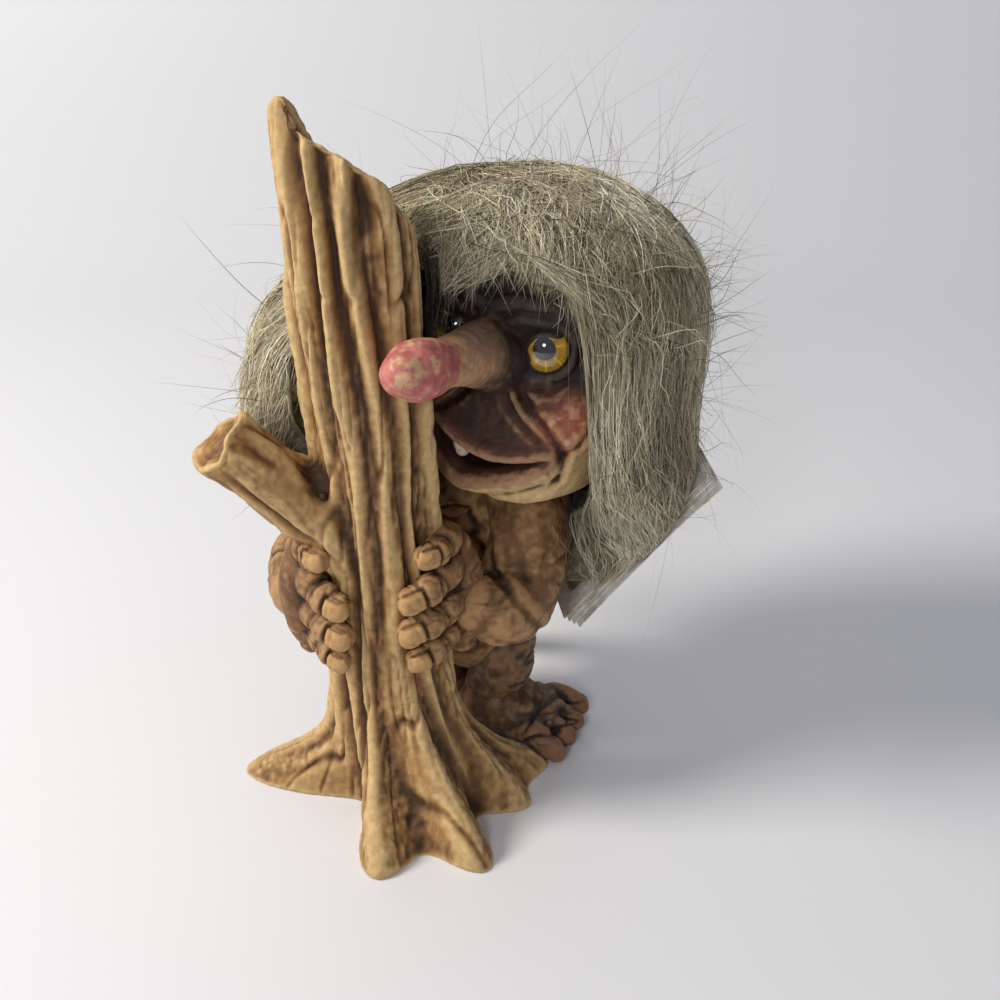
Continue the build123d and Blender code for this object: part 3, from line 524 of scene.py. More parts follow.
# %% Bark colours
def bark_colours(piece):
    points = points_of(piece)
    fine, broad = hollows(piece)
    patch = layered_noise(points / np.array([14.0, 14.0, 34.0]), 51)
    streak = layered_noise(points / np.array([2.6, 2.6, 16.0]), 55)
    colours = np.tile(tint(172, 134, 86), (len(points), 1))
    colours = blend_tints(colours, tint(160, 119, 70), ease_between(-0.1, 0.7, patch))
    colours = blend_tints(colours, tint(138, 102, 66), 0.75 * ease_between(0.0, 0.9, streak))
    colours = blend_tints(colours, tint(206, 174, 122), 0.85 * ease_between(0.1, 0.8, -broad - 0.8 * fine))
    wash = ease_between(-0.25, 0.40, broad + 0.8 * fine + 0.14 * streak)
    dregs = ease_between(0.30, 1.05, broad + 1.4 * fine + 0.15 * streak)
    colours = blend_tints(colours, tint(112, 79, 49), 0.9 * wash)
    return blend_tints(colours, tint(58, 39, 24), 0.88 * dregs)


bark_tones = bark_colours(trunk)
paint(trunk, bark_tones)
print("mean bark tone", bark_tones.mean(axis=0))

# %% [markdown]
# ## Paint on a casting
# Craft paint on composition is matt, with a slight shine where hands have polished it, and it has a fine
# grain of brush marks and dust. The colour comes from the painted points, the material adds the grain,
# small specks and an uneven shine.

# %% Painted casting material
def painted_casting(name, grain, shine):
    material = bpy.data.materials.new(name)
    material.use_nodes = True
    nodes, links = material.node_tree.nodes, material.node_tree.links
    shader = nodes["Principled BSDF"]
    shader.inputs["Specular IOR Level"].default_value = shine
    colour = nodes.new("ShaderNodeAttribute")
    colour.attribute_name = "paint"
    place = nodes.new("ShaderNodeTexCoord")
    specks = nodes.new("ShaderNodeTexNoise")
    specks.inputs["Scale"].default_value = 420.0
    specks.inputs["Detail"].default_value = 5.0
    specks.inputs["Roughness"].default_value = 0.62
    links.new(place.outputs["Object"], specks.inputs["Vector"])
    shade = nodes.new("ShaderNodeMapRange")
    shade.inputs["From Min"].default_value = 0.30
    shade.inputs["From Max"].default_value = 0.70
    shade.inputs["To Min"].default_value = 0.76
    shade.inputs["To Max"].default_value = 1.18
    links.new(specks.outputs["Fac"], shade.inputs["Value"])
    mixed = nodes.new("ShaderNodeMix")
    mixed.data_type = "RGBA"
    mixed.blend_type = "MULTIPLY"
    mixed.inputs["Factor"].default_value = 1.0
    links.new(colour.outputs["Color"], mixed.inputs["A"])
    links.new(shade.outputs["Result"], mixed.inputs["B"])
    links.new(mixed.outputs["Result"], shader.inputs["Base Color"])
    worn = nodes.new("ShaderNodeTexNoise")
    worn.inputs["Scale"].default_value = 70.0
    links.new(place.outputs["Object"], worn.inputs["Vector"])
    polish = nodes.new("ShaderNodeMapRange")
    polish.inputs["To Min"].default_value = 0.48
    polish.inputs["To Max"].default_value = 0.78
    links.new(worn.outputs["Fac"], polish.inputs["Value"])
    links.new(polish.outputs["Result"], shader.inputs["Roughness"])
    bump = nodes.new("ShaderNodeBump")
    bump.inputs["Strength"].default_value = grain
    bump.inputs["Distance"].default_value = 0.0006
    links.new(specks.outputs["Fac"], bump.inputs["Height"])
    links.new(bump.outputs["Normal"], shader.inputs["Normal"])
    return material


bark_paint = painted_casting("bark_paint", 0.45, 0.28)
trunk.data.materials.append(bark_paint)
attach(trunk, "figure")
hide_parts("tree_trunk")
print("trunk", len(trunk.data.polygons), "faces")

# %% [markdown]
# ## Where the face looks
# The troll peeks past the trunk, so its head is turned by about a third of a right angle. All features of
# the face are easier to place in the head's own directions: forward, sideways and up.

# %% Head directions
FACE_TURN = math.radians(32)
FACING = np.array([-math.sin(FACE_TURN), -math.cos(FACE_TURN), 0.0])
LEFT = np.array([math.cos(FACE_TURN), -math.sin(FACE_TURN), 0.0])
UP = np.array([0.0, 0.0, 1.0])
HEAD_BASE, HEAD_HEIGHT = 100.0, 88.0
nose_side_room = float(stem_reach(np.array(-FACE_TURN), 158.0)) + 1.7 + 0.9 * 8.6 + 0.4
HEAD_AT = np.array([stem_centre_x(158.0), 0.0, 0.0]) + LEFT * nose_side_room - FACING * 57.0


def on_face(forward, sideways, level):
    return HEAD_AT + FACING * forward + LEFT * sideways + UP * level


def face_coordinates(points):
    rel = points - HEAD_AT
    return rel @ FACING, rel @ LEFT, points[:, 2]


def smooth_curve(x, xs, ys):
    # A smooth line through the given stations
    xs, ys = np.array(xs, dtype=float), np.array(ys, dtype=float)
    slopes = np.gradient(ys, xs)
    k = np.clip(np.searchsorted(xs, x) - 1, 0, len(xs) - 2)
    span = xs[k + 1] - xs[k]
    t = (x - xs[k]) / span
    from_start = (2 * t ** 3 - 3 * t ** 2 + 1) * ys[k] + (t ** 3 - 2 * t ** 2 + t) * span * slopes[k]
    return from_start + (3 * t ** 2 - 2 * t ** 3) * ys[k + 1] + (t ** 3 - t ** 2) * span * slopes[k + 1]


# %% [markdown]
# ## The skull
# The head is a height field: for every direction and level one distance from the head's axis. The plain skull comes
# first, with full cheeks, a heavy brow and hollows for the eyes.

# %% Skull
HEAD_FRONT, HEAD_BACK, HEAD_SIDE = 33.0, 34.0, 33.0
HEAD_SHAPE = np.array([
    # share of the height, then the reach to the side, the front and the back
    (0.00, 0.50, 0.66, 0.42), (0.05, 0.66, 1.00, 0.60), (0.14, 0.82, 1.18, 0.76), (0.25, 0.94, 1.20, 0.88),
    (0.38, 1.02, 1.10, 0.96), (0.51, 1.02, 1.00, 1.00), (0.63, 1.00, 0.97, 1.03), (0.77, 0.96, 0.97, 1.02),
    (0.89, 0.82, 0.82, 0.90), (0.96, 0.60, 0.60, 0.66), (1.00, 0.30, 0.30, 0.33)])


def skull_reach(angle, share):
    side, front, back = (smooth_curve(share, HEAD_SHAPE[:, 0], HEAD_SHAPE[:, i]) for i in (1, 2, 3))
    ahead, aside = np.cos(angle), np.sin(angle)
    depth = np.where(ahead > 0, HEAD_FRONT * front, HEAD_BACK * back)
    reach = ((np.abs(ahead) / depth) ** 2.2 + (np.abs(aside) / (HEAD_SIDE * side)) ** 2.2) ** (-1 / 2.2)
    turn = np.degrees(np.abs(angle))
    reach += 4.5 * hump(turn - 41, 15) * hump(share - 0.37, 0.09)
    reach += 3.0 * hump(turn - 24, 14) * hump(share - 0.77, 0.06)
    return reach - 2.5 * hump(turn - 28, 12) * hump(share - 0.62, 0.08)

print("skull reaches ahead by", skull_reach(np.zeros(1), np.full(1, 0.25)))

# %% [markdown]
# ## Mouth and folds
# The mouth is a deep crescent in the same field, the lips are two ridges along it, and the folds of an old face are
# narrow creases along drawn lines. Lines are given as pairs of direction in degrees and level.

# %% Mouth and folds
MOUTH_LEVEL, HALF_MOUTH = 120.0, 21.5
FOLDS = [
    # depth, width, then the line as (direction, level) pairs
    (2.0, 1.3, [(13, 148), (21, 140), (30, 134), (36, 128), (39, 121), (37, 114)]),
    (1.3, 1.1, [(11, 140), (18, 135), (26, 131), (32, 127)]),
    (1.6, 1.2, [(15, 147), (23, 143.5), (33, 143.5), (43, 147), (51, 153)]),
    (0.9, 0.9, [(19, 141), (28, 139), (38, 141), (47, 146)]),
    (1.4, 1.2, [(39, 124), (45, 127), (52, 133), (56, 140)]),
    (1.0, 1.0, [(37, 114), (31, 109), (20, 106)]),
    (1.2, 1.1, [(6, 164), (18, 167), (32, 166)]),
    (1.0, 1.0, [(0, 170), (16, 173), (34, 171)]),
]


def distance_to_line(x, y, line):
    nearest = np.full(x.shape, 1e6)
    for (x0, y0), (x1, y1) in zip(line[:-1], line[1:]):
        dx, dy = x1 - x0, y1 - y0
        t = np.clip(((x - x0) * dx + (y - y0) * dy) / (dx * dx + dy * dy), 0.0, 1.0)
        nearest = np.minimum(nearest, np.hypot(x - x0 - t * dx, y - y0 - t * dy))
    return nearest


def mouth_lines(sideways):
    # A crooked grin: wide open towards the trunk and nearly shut towards the cheek
    kept = np.clip(sideways, -27.0, 27.0)
    upper = MOUTH_LEVEL + 1.0 + 5.0 * ((kept - 7.0) / 19.0) ** 2
    opening = smooth_curve(kept, [-28, -23, -15, -8, 0, 6, 14, 21.5, 28], [0, 3, 9.5, 9.5, 6.0, 3.6, 1.8, 0, 0])
    return upper, upper - np.maximum(opening, 0.0)


def face_relief(angle, reach, level):
    sideways = reach * np.sin(angle)
    ahead = ease_between(0.25, 0.5, np.cos(angle))
    upper, lower = mouth_lines(sideways)
    across = ease_between(HALF_MOUTH + 3.0, HALF_MOUTH - 2.0, np.abs(sideways)) * ahead
    opened = ease_between(lower - 0.5, lower + 1.0, level) * ease_between(upper + 0.5, upper - 1.0, level)
    relief = 2.4 * hump(level - upper - 2.2, 1.5) + 3.4 * hump(level - lower + 3.6, 2.3)
    relief -= 2.6 * hump(level - lower + 9.6, 1.4)
    relief = (relief - 12.0 * opened) * across
    turn = np.degrees(np.abs(angle)) * 0.62
    for depth, width, line in FOLDS:
        gap = distance_to_line(turn, level, [(a * 0.62, z) for a, z in line])
        relief -= ahead * depth * (np.exp(-((gap / width) ** 2)) - 0.35 * np.exp(-(((gap - 2.6) / 1.6) ** 2)))
    return relief


def skull_mass():
    turn = np.linspace(-np.pi, np.pi, 400, endpoint=False)
    shares = np.linspace(0.0, 1.0, 170)
    angle, share = np.meshgrid(turn, shares)
    level = HEAD_BASE + HEAD_HEIGHT * share
    reach = skull_reach(angle, share)
    reach = reach + face_relief(angle, reach, level)
    forward, sideways = reach * np.cos(angle), reach * np.sin(angle)
    spots = HEAD_AT + forward[..., None] * FACING + sideways[..., None] * LEFT + level[..., None] * UP
    return closed_skin(spots)


# %% [markdown]
# ## Tubes for noses, lids and limbs
# Noses, eyelids, fingers, arms and legs are all soft tubes along a line with a changing girth. One helper
# makes them: it runs a smooth line through a few stations and closes both ends with a dome.

# %% Tubes
def tube(stations, sides, per_span):
    spots = np.array([spot for spot, _ in stations], dtype=float)
    girths = np.array([girth for _, girth in stations], dtype=float)
    marks = np.arange(len(spots), dtype=float)
    fine = np.linspace(0.0, len(spots) - 1.0, per_span * (len(spots) - 1) + 1)
    path = np.column_stack([smooth_curve(fine, marks, spots[:, i]) for i in range(3)])
    girth = smooth_curve(fine, marks, girths)
    ways = np.gradient(path, axis=0)
    ways /= np.linalg.norm(ways, axis=1)[:, None]
    start_cap = [(path[0] - ways[0] * girth[0] * math.sin(a), girth[0] * math.cos(a), ways[0])
                 for a in (1.45, 1.1, 0.75, 0.4)]
    end_cap = [(path[-1] + ways[-1] * girth[-1] * math.sin(a), girth[-1] * math.cos(a), ways[-1])
               for a in (0.4, 0.75, 1.1, 1.45)]
    rings = start_cap + list(zip(path, girth, ways)) + end_cap
    turn = np.linspace(0.0, 2.0 * np.pi, sides, endpoint=False)
    across = np.cross(rings[0][2], UP if abs(rings[0][2][2]) < 0.9 else FACING)
    skins = []
    for spot, radius, way in rings:
        across = across - way * (across @ way)
        across = across / np.linalg.norm(across)
        around = np.outer(np.cos(turn), across) + np.outer(np.sin(turn), np.cross(way, across))
        skins.append(spot + radius * around)
    return closed_skin(skins)


# %% [markdown]
# ## Nose and eyelids
# The nose is the figure's pride: it reaches right past the trunk and ends in a round bulb. The eyelids
# are thick rolls round the glass eyes, and one more fold of skin lies above each.

# %% Nose and eyelids
NOSE_RISE = math.radians(14)
NOSE_WAY = FACING * math.cos(NOSE_RISE) + UP * math.sin(NOSE_RISE)
NOSE_START = on_face(20.0, 0.0, 148.0)


def nose_mass():
    profile = [(0, 13.5, 0), (9, 12.4, 0.3), (17, 10.3, 0.8), (25, 8.7, 1.0), (33, 7.5, 0.8), (38, 7.2, 0.5),
               (43, 8.0, 0.2), (49, 8.8, 0), (54, 8.2, -0.2), (57, 6.6, -0.3)]
    return tube([(NOSE_START + NOSE_WAY * along + UP * sag, girth) for along, girth, sag in profile], 40, 5)


def bridge_mass():
    profile = [(4, 6.8, 6.5), (14, 6.4, 5.8), (24, 5.8, 4.0), (33, 5.2, 2.2)]
    return tube([(NOSE_START + NOSE_WAY * along + UP * rise, girth) for along, girth, rise in profile], 30, 5)


def eye_frame(side):
    gaze = math.radians(16)
    way = FACING * math.cos(gaze) + LEFT * side * math.sin(gaze) + UP * 0.12
    way = way / np.linalg.norm(way)
    level_across = np.cross(UP, way)
    level_across = level_across / np.linalg.norm(level_across)
    return on_face(26.4, side * 15.5, 155.0), way, level_across, np.cross(way, level_across)


def lid_mass(side, first, last, reach, girth, lift, tilt):
    seat, way, across, rise = eye_frame(side)
    stations = []
    for turn in np.linspace(math.radians(first), math.radians(last), 9):
        bulk = girth * (0.55 + 0.45 * math.sin((turn - math.radians(first)) / math.radians(last - first) * math.pi))
        ring = across * reach * math.cos(turn) + rise * (reach * math.sin(turn) + tilt)
        stations.append((seat + ring + way * (lift + 1.5 * math.sin(turn)), bulk))
    return tube(stations, 18, 4)


lids = []
for side in (1, -1):
    lids.append(lid_mass(side, 2, 178, 8.8, 2.1, 0.3, 0.0))
    lids.append(lid_mass(side, 182, 358, 8.8, 2.0, 1.6, 0.0))
    lids.append(lid_mass(side, 15, 165, 12.4, 2.8, -0.4, 0.6))
head = clay("troll_head_carved", [skull_mass(), nose_mass(), bridge_mass()] + lids, 0.55)
set_points(head, soften(points_of(head), edges_of(head), 2))
print("kneaded head", len(head.data.vertices), "points")

# %% [markdown]
# ## Wrinkles of the face
# The modeller scratched fine wrinkles into the soft face, mostly round the nose and the mouth. They are narrow
# grooves where a noise field crosses zero, and on the nose they run round it.

# %% Face wrinkles
def carve_face(piece):
    points, normals = points_of(piece), normals_of(piece)
    forward, sideways, level = face_coordinates(points)
    along = (points - NOSE_START) @ NOSE_WAY
    on_nose = ease_between(14.0, 22.0, along)
    drawn = np.column_stack([sideways / 3.0, level / 2.6 - np.abs(sideways) / 7.0, forward / 9.0])
    lines = groove(smooth_noise(drawn, 61), 0.16)
    scratched = ease_between(100.0, 128.0, level) * ease_between(172.0, 150.0, level) * (1.0 - on_nose)
    cut = 0.14 * lines * scratched
    rings = groove(smooth_noise(np.column_stack([along / 2.6, level / 14.0, sideways / 14.0]), 63), 0.2)
    cut += 0.20 * rings * ease_between(8.0, 16.0, along) * ease_between(42.0, 34.0, along)
    cut += 0.16 * layered_noise(points / 3.0, 65, 3)
    return points - normals * cut[:, None]


set_points(head, carve_face(head))
print("head carved")

# %% [markdown]
# ## Colours of the face
# The painter laid in dark brows and lids, a pink nose, ruddy cheeks, dark lips and a pale jaw, and finally the
# wash. The colours are laid on by place on the face, with edges made uneven by noise.

# %% Face colours
def face_colours(piece):
    points = points_of(piece)
    forward, sideways, level = face_coordinates(points)
    angle = np.degrees(np.arctan2(np.abs(sideways), forward))
    reach = np.hypot(forward, sideways)
    along = (points - NOSE_START) @ NOSE_WAY
    from_nose = np.linalg.norm(points - NOSE_START - np.outer(along, NOSE_WAY), axis=1)
    on_nose = ease_between(14.0, 20.0, along) * ease_between(15.0, 12.5, from_nose)
    blot = layered_noise(points / 7.0, 71, 3)
    fine_blot = layered_noise(points / 2.4, 73, 3)
    fine, broad = hollows(piece, 3, 30)
    colours = np.tile(tint(66, 44, 34), (len(points), 1))
    colours = blend_tints(colours, tint(42, 28, 23), ease_between(-0.3, 0.6, blot) * 0.8)
    upper, lower = mouth_lines(sideways)
    out = np.abs(sideways) / HALF_MOUTH
    jaw_top = np.where(out < 1.0, lower - 3.8, np.interp(out, [1.0, 1.3], [117.0, 130.0]))
    jaw = ease_between(jaw_top + 2.0, jaw_top - 1.5, level + 1.0 * blot)
    colours = blend_tints(colours, tint(210, 178, 126), 0.94 * jaw)
    cheek = np.exp(-(((angle - 43) * 0.6 / 9.0) ** 2) - ((level - 134.0) / 7.5) ** 2)
    ruddy = np.clip(1.4 * cheek, 0, 1)
    colours = blend_tints(colours, tint(186, 106, 76), ruddy * (0.8 + 0.2 * blot))
    colours = blend_tints(colours, tint(214, 160, 128), 0.7 * ruddy * ease_between(0.25, 0.7, fine_blot))
    across = ease_between(HALF_MOUTH + 4.0, HALF_MOUTH + 0.5, np.abs(sideways)) * ease_between(20.0, 26.0, forward)
    lips = ease_between(lower - 4.8, lower - 3.4, level + 0.5 * fine_blot)
    lips = lips * ease_between(upper + 5.4, upper + 3.9, level) * across
    colours = blend_tints(colours, tint(94, 58, 47), 0.95 * lips)
    colours = blend_tints(colours, tint(150, 98, 76), 0.35 * lips * ease_between(0.05, 0.35, -broad))
    inside = ease_between(2.0, 6.0, skull_reach(np.radians(angle), (level - HEAD_BASE) / HEAD_HEIGHT) - reach)
    colours = blend_tints(colours, tint(44, 20, 18), inside * across)
    dark = ease_between(141.0, 148.0, level + 1.5 * blot + 0.10 * np.maximum(angle - 40, 0))
    colours = blend_tints(colours, tint(30, 26, 25), 0.97 * dark * (1.0 - on_nose))
    colours = blend_tints(colours, tint(84, 72, 66), 0.45 * dark * (1.0 - on_nose) * ease_between(0.0, 0.4, -broad))
    shaft = on_nose * ease_between(16.0, 33.0, along + 3.0 * blot)
    above = (points - NOSE_START - np.outer(along, NOSE_WAY))[:, 2]
    colours = blend_tints(colours, tint(196, 152, 112), shaft)
    grey_top = ease_between(0.0, 7.0, above + 2.0 * blot) * ease_between(40.0, 26.0, along)
    colours = blend_tints(colours, tint(98, 82, 74), 0.8 * shaft * grey_top)
    colours = blend_tints(colours, tint(140, 104, 84), 0.6 * on_nose * ease_between(0.1, 0.8, fine_blot))
    bulb = ease_between(38.0, 43.0, along + 2.2 * blot + 1.2 * fine_blot)
    colours = blend_tints(colours, tint(192, 114, 106), 0.95 * bulb)
    colours = blend_tints(colours, tint(172, 80, 82), 0.6 * bulb * ease_between(0.0, 0.8, fine_blot + blot))
    colours = blend_tints(colours, tint(208, 174, 130), 0.8 * bulb * ease_between(0.15, 0.6, -fine_blot - 0.4 * blot))
    glaze = 1.0 - 0.75 * on_nose
    colours = blend_tints(colours, tint(48, 27, 18), 0.85 * glaze * ease_between(0.06, 0.6, broad + fine))
    return blend_tints(colours, tint(214, 176, 128), 0.35 * glaze * (1 - dark) * ease_between(0.15, 0.6, -broad - fine))


paint(head, face_colours(head))
skin_paint = painted_casting("skin_paint", 0.35, 0.35)
head.data.materials.append(skin_paint)
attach(head, "figure")
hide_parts("troll_head")
print("head", len(head.data.polygons), "faces")

# %% [markdown]
# ## Skin of the body
# Body, arms and legs are cast in one with the rest and painted like old leather. One helper kneads a
# limb's lumps, presses wrinkles into its skin, washes it and puts it in its place.

# %% Skin helper
def carve_skin(points, seed, wrinkle):
    drawn = points / np.array([9.5, 9.5, 5.2]) + seed
    warped = drawn + 0.45 * np.column_stack([smooth_noise(drawn * 0.7, seed + i) for i in (1, 2, 3)])
    where = ease_between(-0.25, 0.35, smooth_noise(points / 15.0, seed + 7))
    deep = groove(smooth_noise(warped, seed), 0.13)
    shallow = groove(smooth_noise(warped * 2.1, seed + 5), 0.14)
    cut = wrinkle * where * (deep + 0.4 * shallow)
    return cut + 0.24 * layered_noise(points / 3.2, seed + 9, 3)


def skin_colours(piece, seed, base, light, dark):
    points = points_of(piece)
    fine, broad = hollows(piece, 3, 26)
    blot = layered_noise(points / 8.0, seed + 21, 3)
    colours = np.tile(base, (len(points), 1))
    colours = blend_tints(colours, base * 0.62, ease_between(-0.1, 0.7, blot))
    colours = blend_tints(colours, light, 0.8 * ease_between(0.06, 0.45, -broad - 0.6 * fine))
    return blend_tints(colours, dark, 0.90 * ease_between(0.0, 0.42, broad + fine + 0.05 * blot))


def cast_limb(name, node, lumps, voxel, seed, colours, wrinkle=0.7, extra=None, tone=None):
    piece = clay(name, lumps, voxel)
    set_points(piece, soften(points_of(piece), edges_of(piece), 4))
    points, normals = points_of(piece), normals_of(piece)
    cut = carve_skin(points, seed, wrinkle)
    if extra is not None:
        cut = cut + extra(points)
    moved = points - normals * cut[:, None]
    moved[:, 2] = np.maximum(moved[:, 2], 0.0)
    set_points(piece, moved)
    shades = skin_colours(piece, seed, *colours)
    paint(piece, shades if tone is None else tone(points_of(piece), shades))
    piece.data.materials.append(skin_paint)
    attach(piece, "figure")
    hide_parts(node)
    print(name, len(piece.data.polygons), "faces")


# These tones are darker than the paint alone: partly painted shade, for the hands and feet that lie in the trunk's
# shade.
SKIN = (tint(122, 87, 55), tint(184, 142, 96), tint(40, 25, 17))
FOOT_SKIN = (tint(84, 62, 45), tint(148, 112, 80), tint(32, 22, 17))
print("skin tone", SKIN[0], "and foot tone", FOOT_SKIN[0])

# %% [markdown]
# ## Body, legs and feet
# The body stands close behind the trunk, so only a little of it shows, but it carries the head and the
# limbs. The feet are big and flat, with four curled toes each.

# %% Body, legs and feet
BELLY_X, BELLY_Y = HEAD_AT[0] - 21.25, 43.45
FOOT_LENGTH, FOOT_WIDTH, FOOT_HEIGHT, TOE_GIRTH = 38.0, 25.0, 22.0, 4.18


def body_mass():
    stations = []
    for share, shift, girth in ((0.42, 0.0, 21.0), (0.54, 0.06, 24.0), (0.74, 0.34, 21.5), (0.90, 0.66, 16.0)):
        spot = (BELLY_X + shift * (HEAD_AT[0] - BELLY_X), BELLY_Y + shift * (HEAD_AT[1] - BELLY_Y), 100.0 * share)
        stations.append((spot, girth))
    return tube(stations, 48, 6)


def leg_mass(ankle, outwards):
    hip = ankle + np.array([outwards, 2.0, 46.0 - ankle[2]])
    knee = 0.5 * (hip + ankle) + np.array([outwards, -2.0, 0.0])
    return tube([(hip, 11.0), (knee, 11.2), (ankle + UP * 3.0, 9.6), (ankle - UP * 4.0, 9.0)], 36, 6)


def foot_masses(ankle, heading):
    way = np.array([math.cos(math.radians(heading)), math.sin(math.radians(heading)), 0.0])
    across = np.array([-way[1], way[0], 0.0])
    turn = np.linspace(0.0, 2.0 * np.pi, 40, endpoint=False)
    rings = []
    for along, wide, tall in ((-0.33, 0.2, 0.3), (-0.30, 0.5, 0.62), (-0.16, 0.86, 1.0), (0.10, 0.96, 0.98),
                              (0.40, 1.0, 0.76), (0.60, 0.92, 0.58), (0.63, 0.5, 0.3)):
        spot = np.array([ankle[0], ankle[1], 0.5 * tall * FOOT_HEIGHT]) + way * along * FOOT_LENGTH
        ring = spot + np.outer(0.5 * wide * FOOT_WIDTH * np.cos(turn), across)
        ring = ring + np.outer(0.5 * tall * FOOT_HEIGHT * np.sin(turn), UP)
        rings.append(np.maximum(ring, [-1e6, -1e6, 0.0]))
    lumps = [closed_skin(rings)]
    for toe in (-1.5, -0.5, 0.5, 1.5):
        fan = math.radians(heading + 11.0 * toe)
        toe_way = np.array([math.cos(fan), math.sin(fan), 0.0])
        root = np.array([ankle[0], ankle[1], 0.0]) + across * 0.17 * FOOT_WIDTH * toe
        stations = []
        for along, lift, girth in ((0.30, 1.6, 0.9), (0.48, 2.0, 1.05), (0.60, 1.7, 0.98), (0.72, 1.05, 0.95)):
            stations.append((root + toe_way * along * FOOT_LENGTH + UP * lift * TOE_GIRTH, girth * TOE_GIRTH))
        lumps.append(tube(stations, 22, 5))
    return lumps


LEFT_ANKLE = np.array([BELLY_X + 5.0, BELLY_Y - 9.0, 13.64])
RIGHT_ANKLE = np.array([BELLY_X - 10.0, BELLY_Y + 3.0, 13.64])


def ruddy_toes(points, shades):
    # The toes were touched with the cheeks' red
    reach = np.hypot(points[:, 0] - LEFT_ANKLE[0], points[:, 1] - LEFT_ANKLE[1])
    return blend_tints(shades, tint(140, 92, 68), 0.40 * ease_between(26.0, 30.0, reach))


cast_limb("troll_torso_carved", "troll_torso", [body_mass()], 0.9, 101, SKIN)
cast_limb("left_leg_carved", "left_leg", [leg_mass(LEFT_ANKLE, 2.0)], 0.7, 111, FOOT_SKIN, 0.9)
cast_limb("right_leg_carved", "right_leg", [leg_mass(RIGHT_ANKLE, -2.0)], 0.7, 121, FOOT_SKIN, 0.9)
cast_limb("left_foot_carved", "left_foot", foot_masses(LEFT_ANKLE, -18.0), 0.6, 131, FOOT_SKIN, 1.1, None, ruddy_toes)
cast_limb("right_foot_carved", "right_foot", foot_masses(RIGHT_ANKLE, 176.0), 0.6, 141, FOOT_SKIN, 1.1)

# %% [markdown]
# ## Arms
# Both arms come round from the shoulders and lie close to the trunk. The left elbow makes a big bulge with a
# deep fold of skin across it.

# %% Arms
HAND_LEVEL, FINGER = 73.0, 4.9
STEM_AT_HAND = np.array([stem_centre_x(HAND_LEVEL), 0.0, HAND_LEVEL])
wrist_reach = float(stem_reach(np.array(0.0), HAND_LEVEL)) + 1.7
left_wrist = STEM_AT_HAND + np.array([wrist_reach + 11.25, -1.0, -2.0])
right_wrist = STEM_AT_HAND + np.array([-wrist_reach - 8.75, 5.0, -1.0])
left_elbow = np.array([left_wrist[0] + 12.5, left_wrist[1] + 12.0, HAND_LEVEL - 3.0])
right_elbow = np.array([right_wrist[0] + 3.0, BELLY_Y - 16.0, HAND_LEVEL + 1.0])
left_shoulder = np.array([HEAD_AT[0] - 10.0, HEAD_AT[1] - 2.0, 97.0])
right_shoulder = np.array([BELLY_X - 4.0, BELLY_Y - 5.0, 92.0])
left_arm_line = [
    (left_shoulder, 10.6), (0.5 * (left_shoulder + left_elbow) + [4.0, 0.0, 3.0], 12.4), (left_elbow, 13.2),
    (0.5 * (left_elbow + left_wrist) + [1.0, -3.0, -3.0], 12.0), (left_wrist, 9.2)]
right_arm_line = [
    (right_shoulder, 11.2), (0.5 * (right_shoulder + right_elbow) + [0.0, 4.0, 1.0], 11.9), (right_elbow, 11.2),
    (0.5 * (right_elbow + right_wrist) + [-2.0, 0.0, -2.0], 10.0), (right_wrist, 8.5)]


def elbow_folds(points):
    # Curved folds that run across the inside of the elbow
    rel = points - left_elbow
    cut = np.zeros(len(points))
    for shift, depth in ((-8.0, 0.5), (0.5, 0.8), (8.0, 0.4)):
        bend = rel[:, 0] * 0.75 + rel[:, 2] * 0.55 - shift + 1.6 * np.sin(points[:, 1] / 4.0 + shift)
        cut += depth * np.exp(-((bend / 1.25) ** 2)) - 0.5 * depth * np.exp(-(((bend - 3.2) / 1.8) ** 2))
    return cut * np.exp(-((np.linalg.norm(rel, axis=1) / 21.0) ** 4))


cast_limb("left_arm_carved", "left_arm", [tube(left_arm_line, 44, 8)], 0.65, 151, SKIN, 0.5, elbow_folds)
cast_limb("right_arm_carved", "right_arm", [tube(right_arm_line, 44, 8)], 0.7, 161, SKIN)

# %% [markdown]
# ## Hands with big nails
# Each hand has three thick fingers and a thumb that hold the trunk. The knuckles bulge, creases cross the joints
# and every finger ends in a large square nail, which lies as a raised plate in its own groove.

# %% Fingers and palms
def grip_spot(angle, level, standoff):
    angle = math.radians(angle)
    reach = float(stem_reach(np.array(angle), level)) + 0.5 + standoff
    return np.array([stem_centre_x(level) + reach * math.cos(angle), reach * math.sin(angle), level])


def finger_line(start, end, level, girth, droop):
    stations = []
    for along, size in ((0.0, 1.0), (0.28, 1.12), (0.48, 0.94), (0.66, 1.06), (0.82, 0.92), (0.96, 0.88)):
        spot = grip_spot(start + along * (end - start), level - along * droop, 0.85 * girth * FINGER)
        stations.append((spot, size * girth * FINGER))
    return stations


def palm_line(angle):
    stations = []
    for rise, size in ((-1.5, 0.9), (-0.9, 1.45), (0.0, 1.7), (0.9, 1.55), (1.6, 0.95)):
        stations.append((grip_spot(angle, HAND_LEVEL + rise * 11.0, 1.3 * FINGER), size * FINGER))
    return stations


print("finger ends against the bark at", grip_spot(-63.0, HAND_LEVEL, 0.0))

# %% [markdown]
# The nail has its own place on each finger: a middle, a direction along the finger and one away from the trunk. The
# cut leaves a plate in a trench there, and two creases over each knuckle; the paint makes the plate paler.

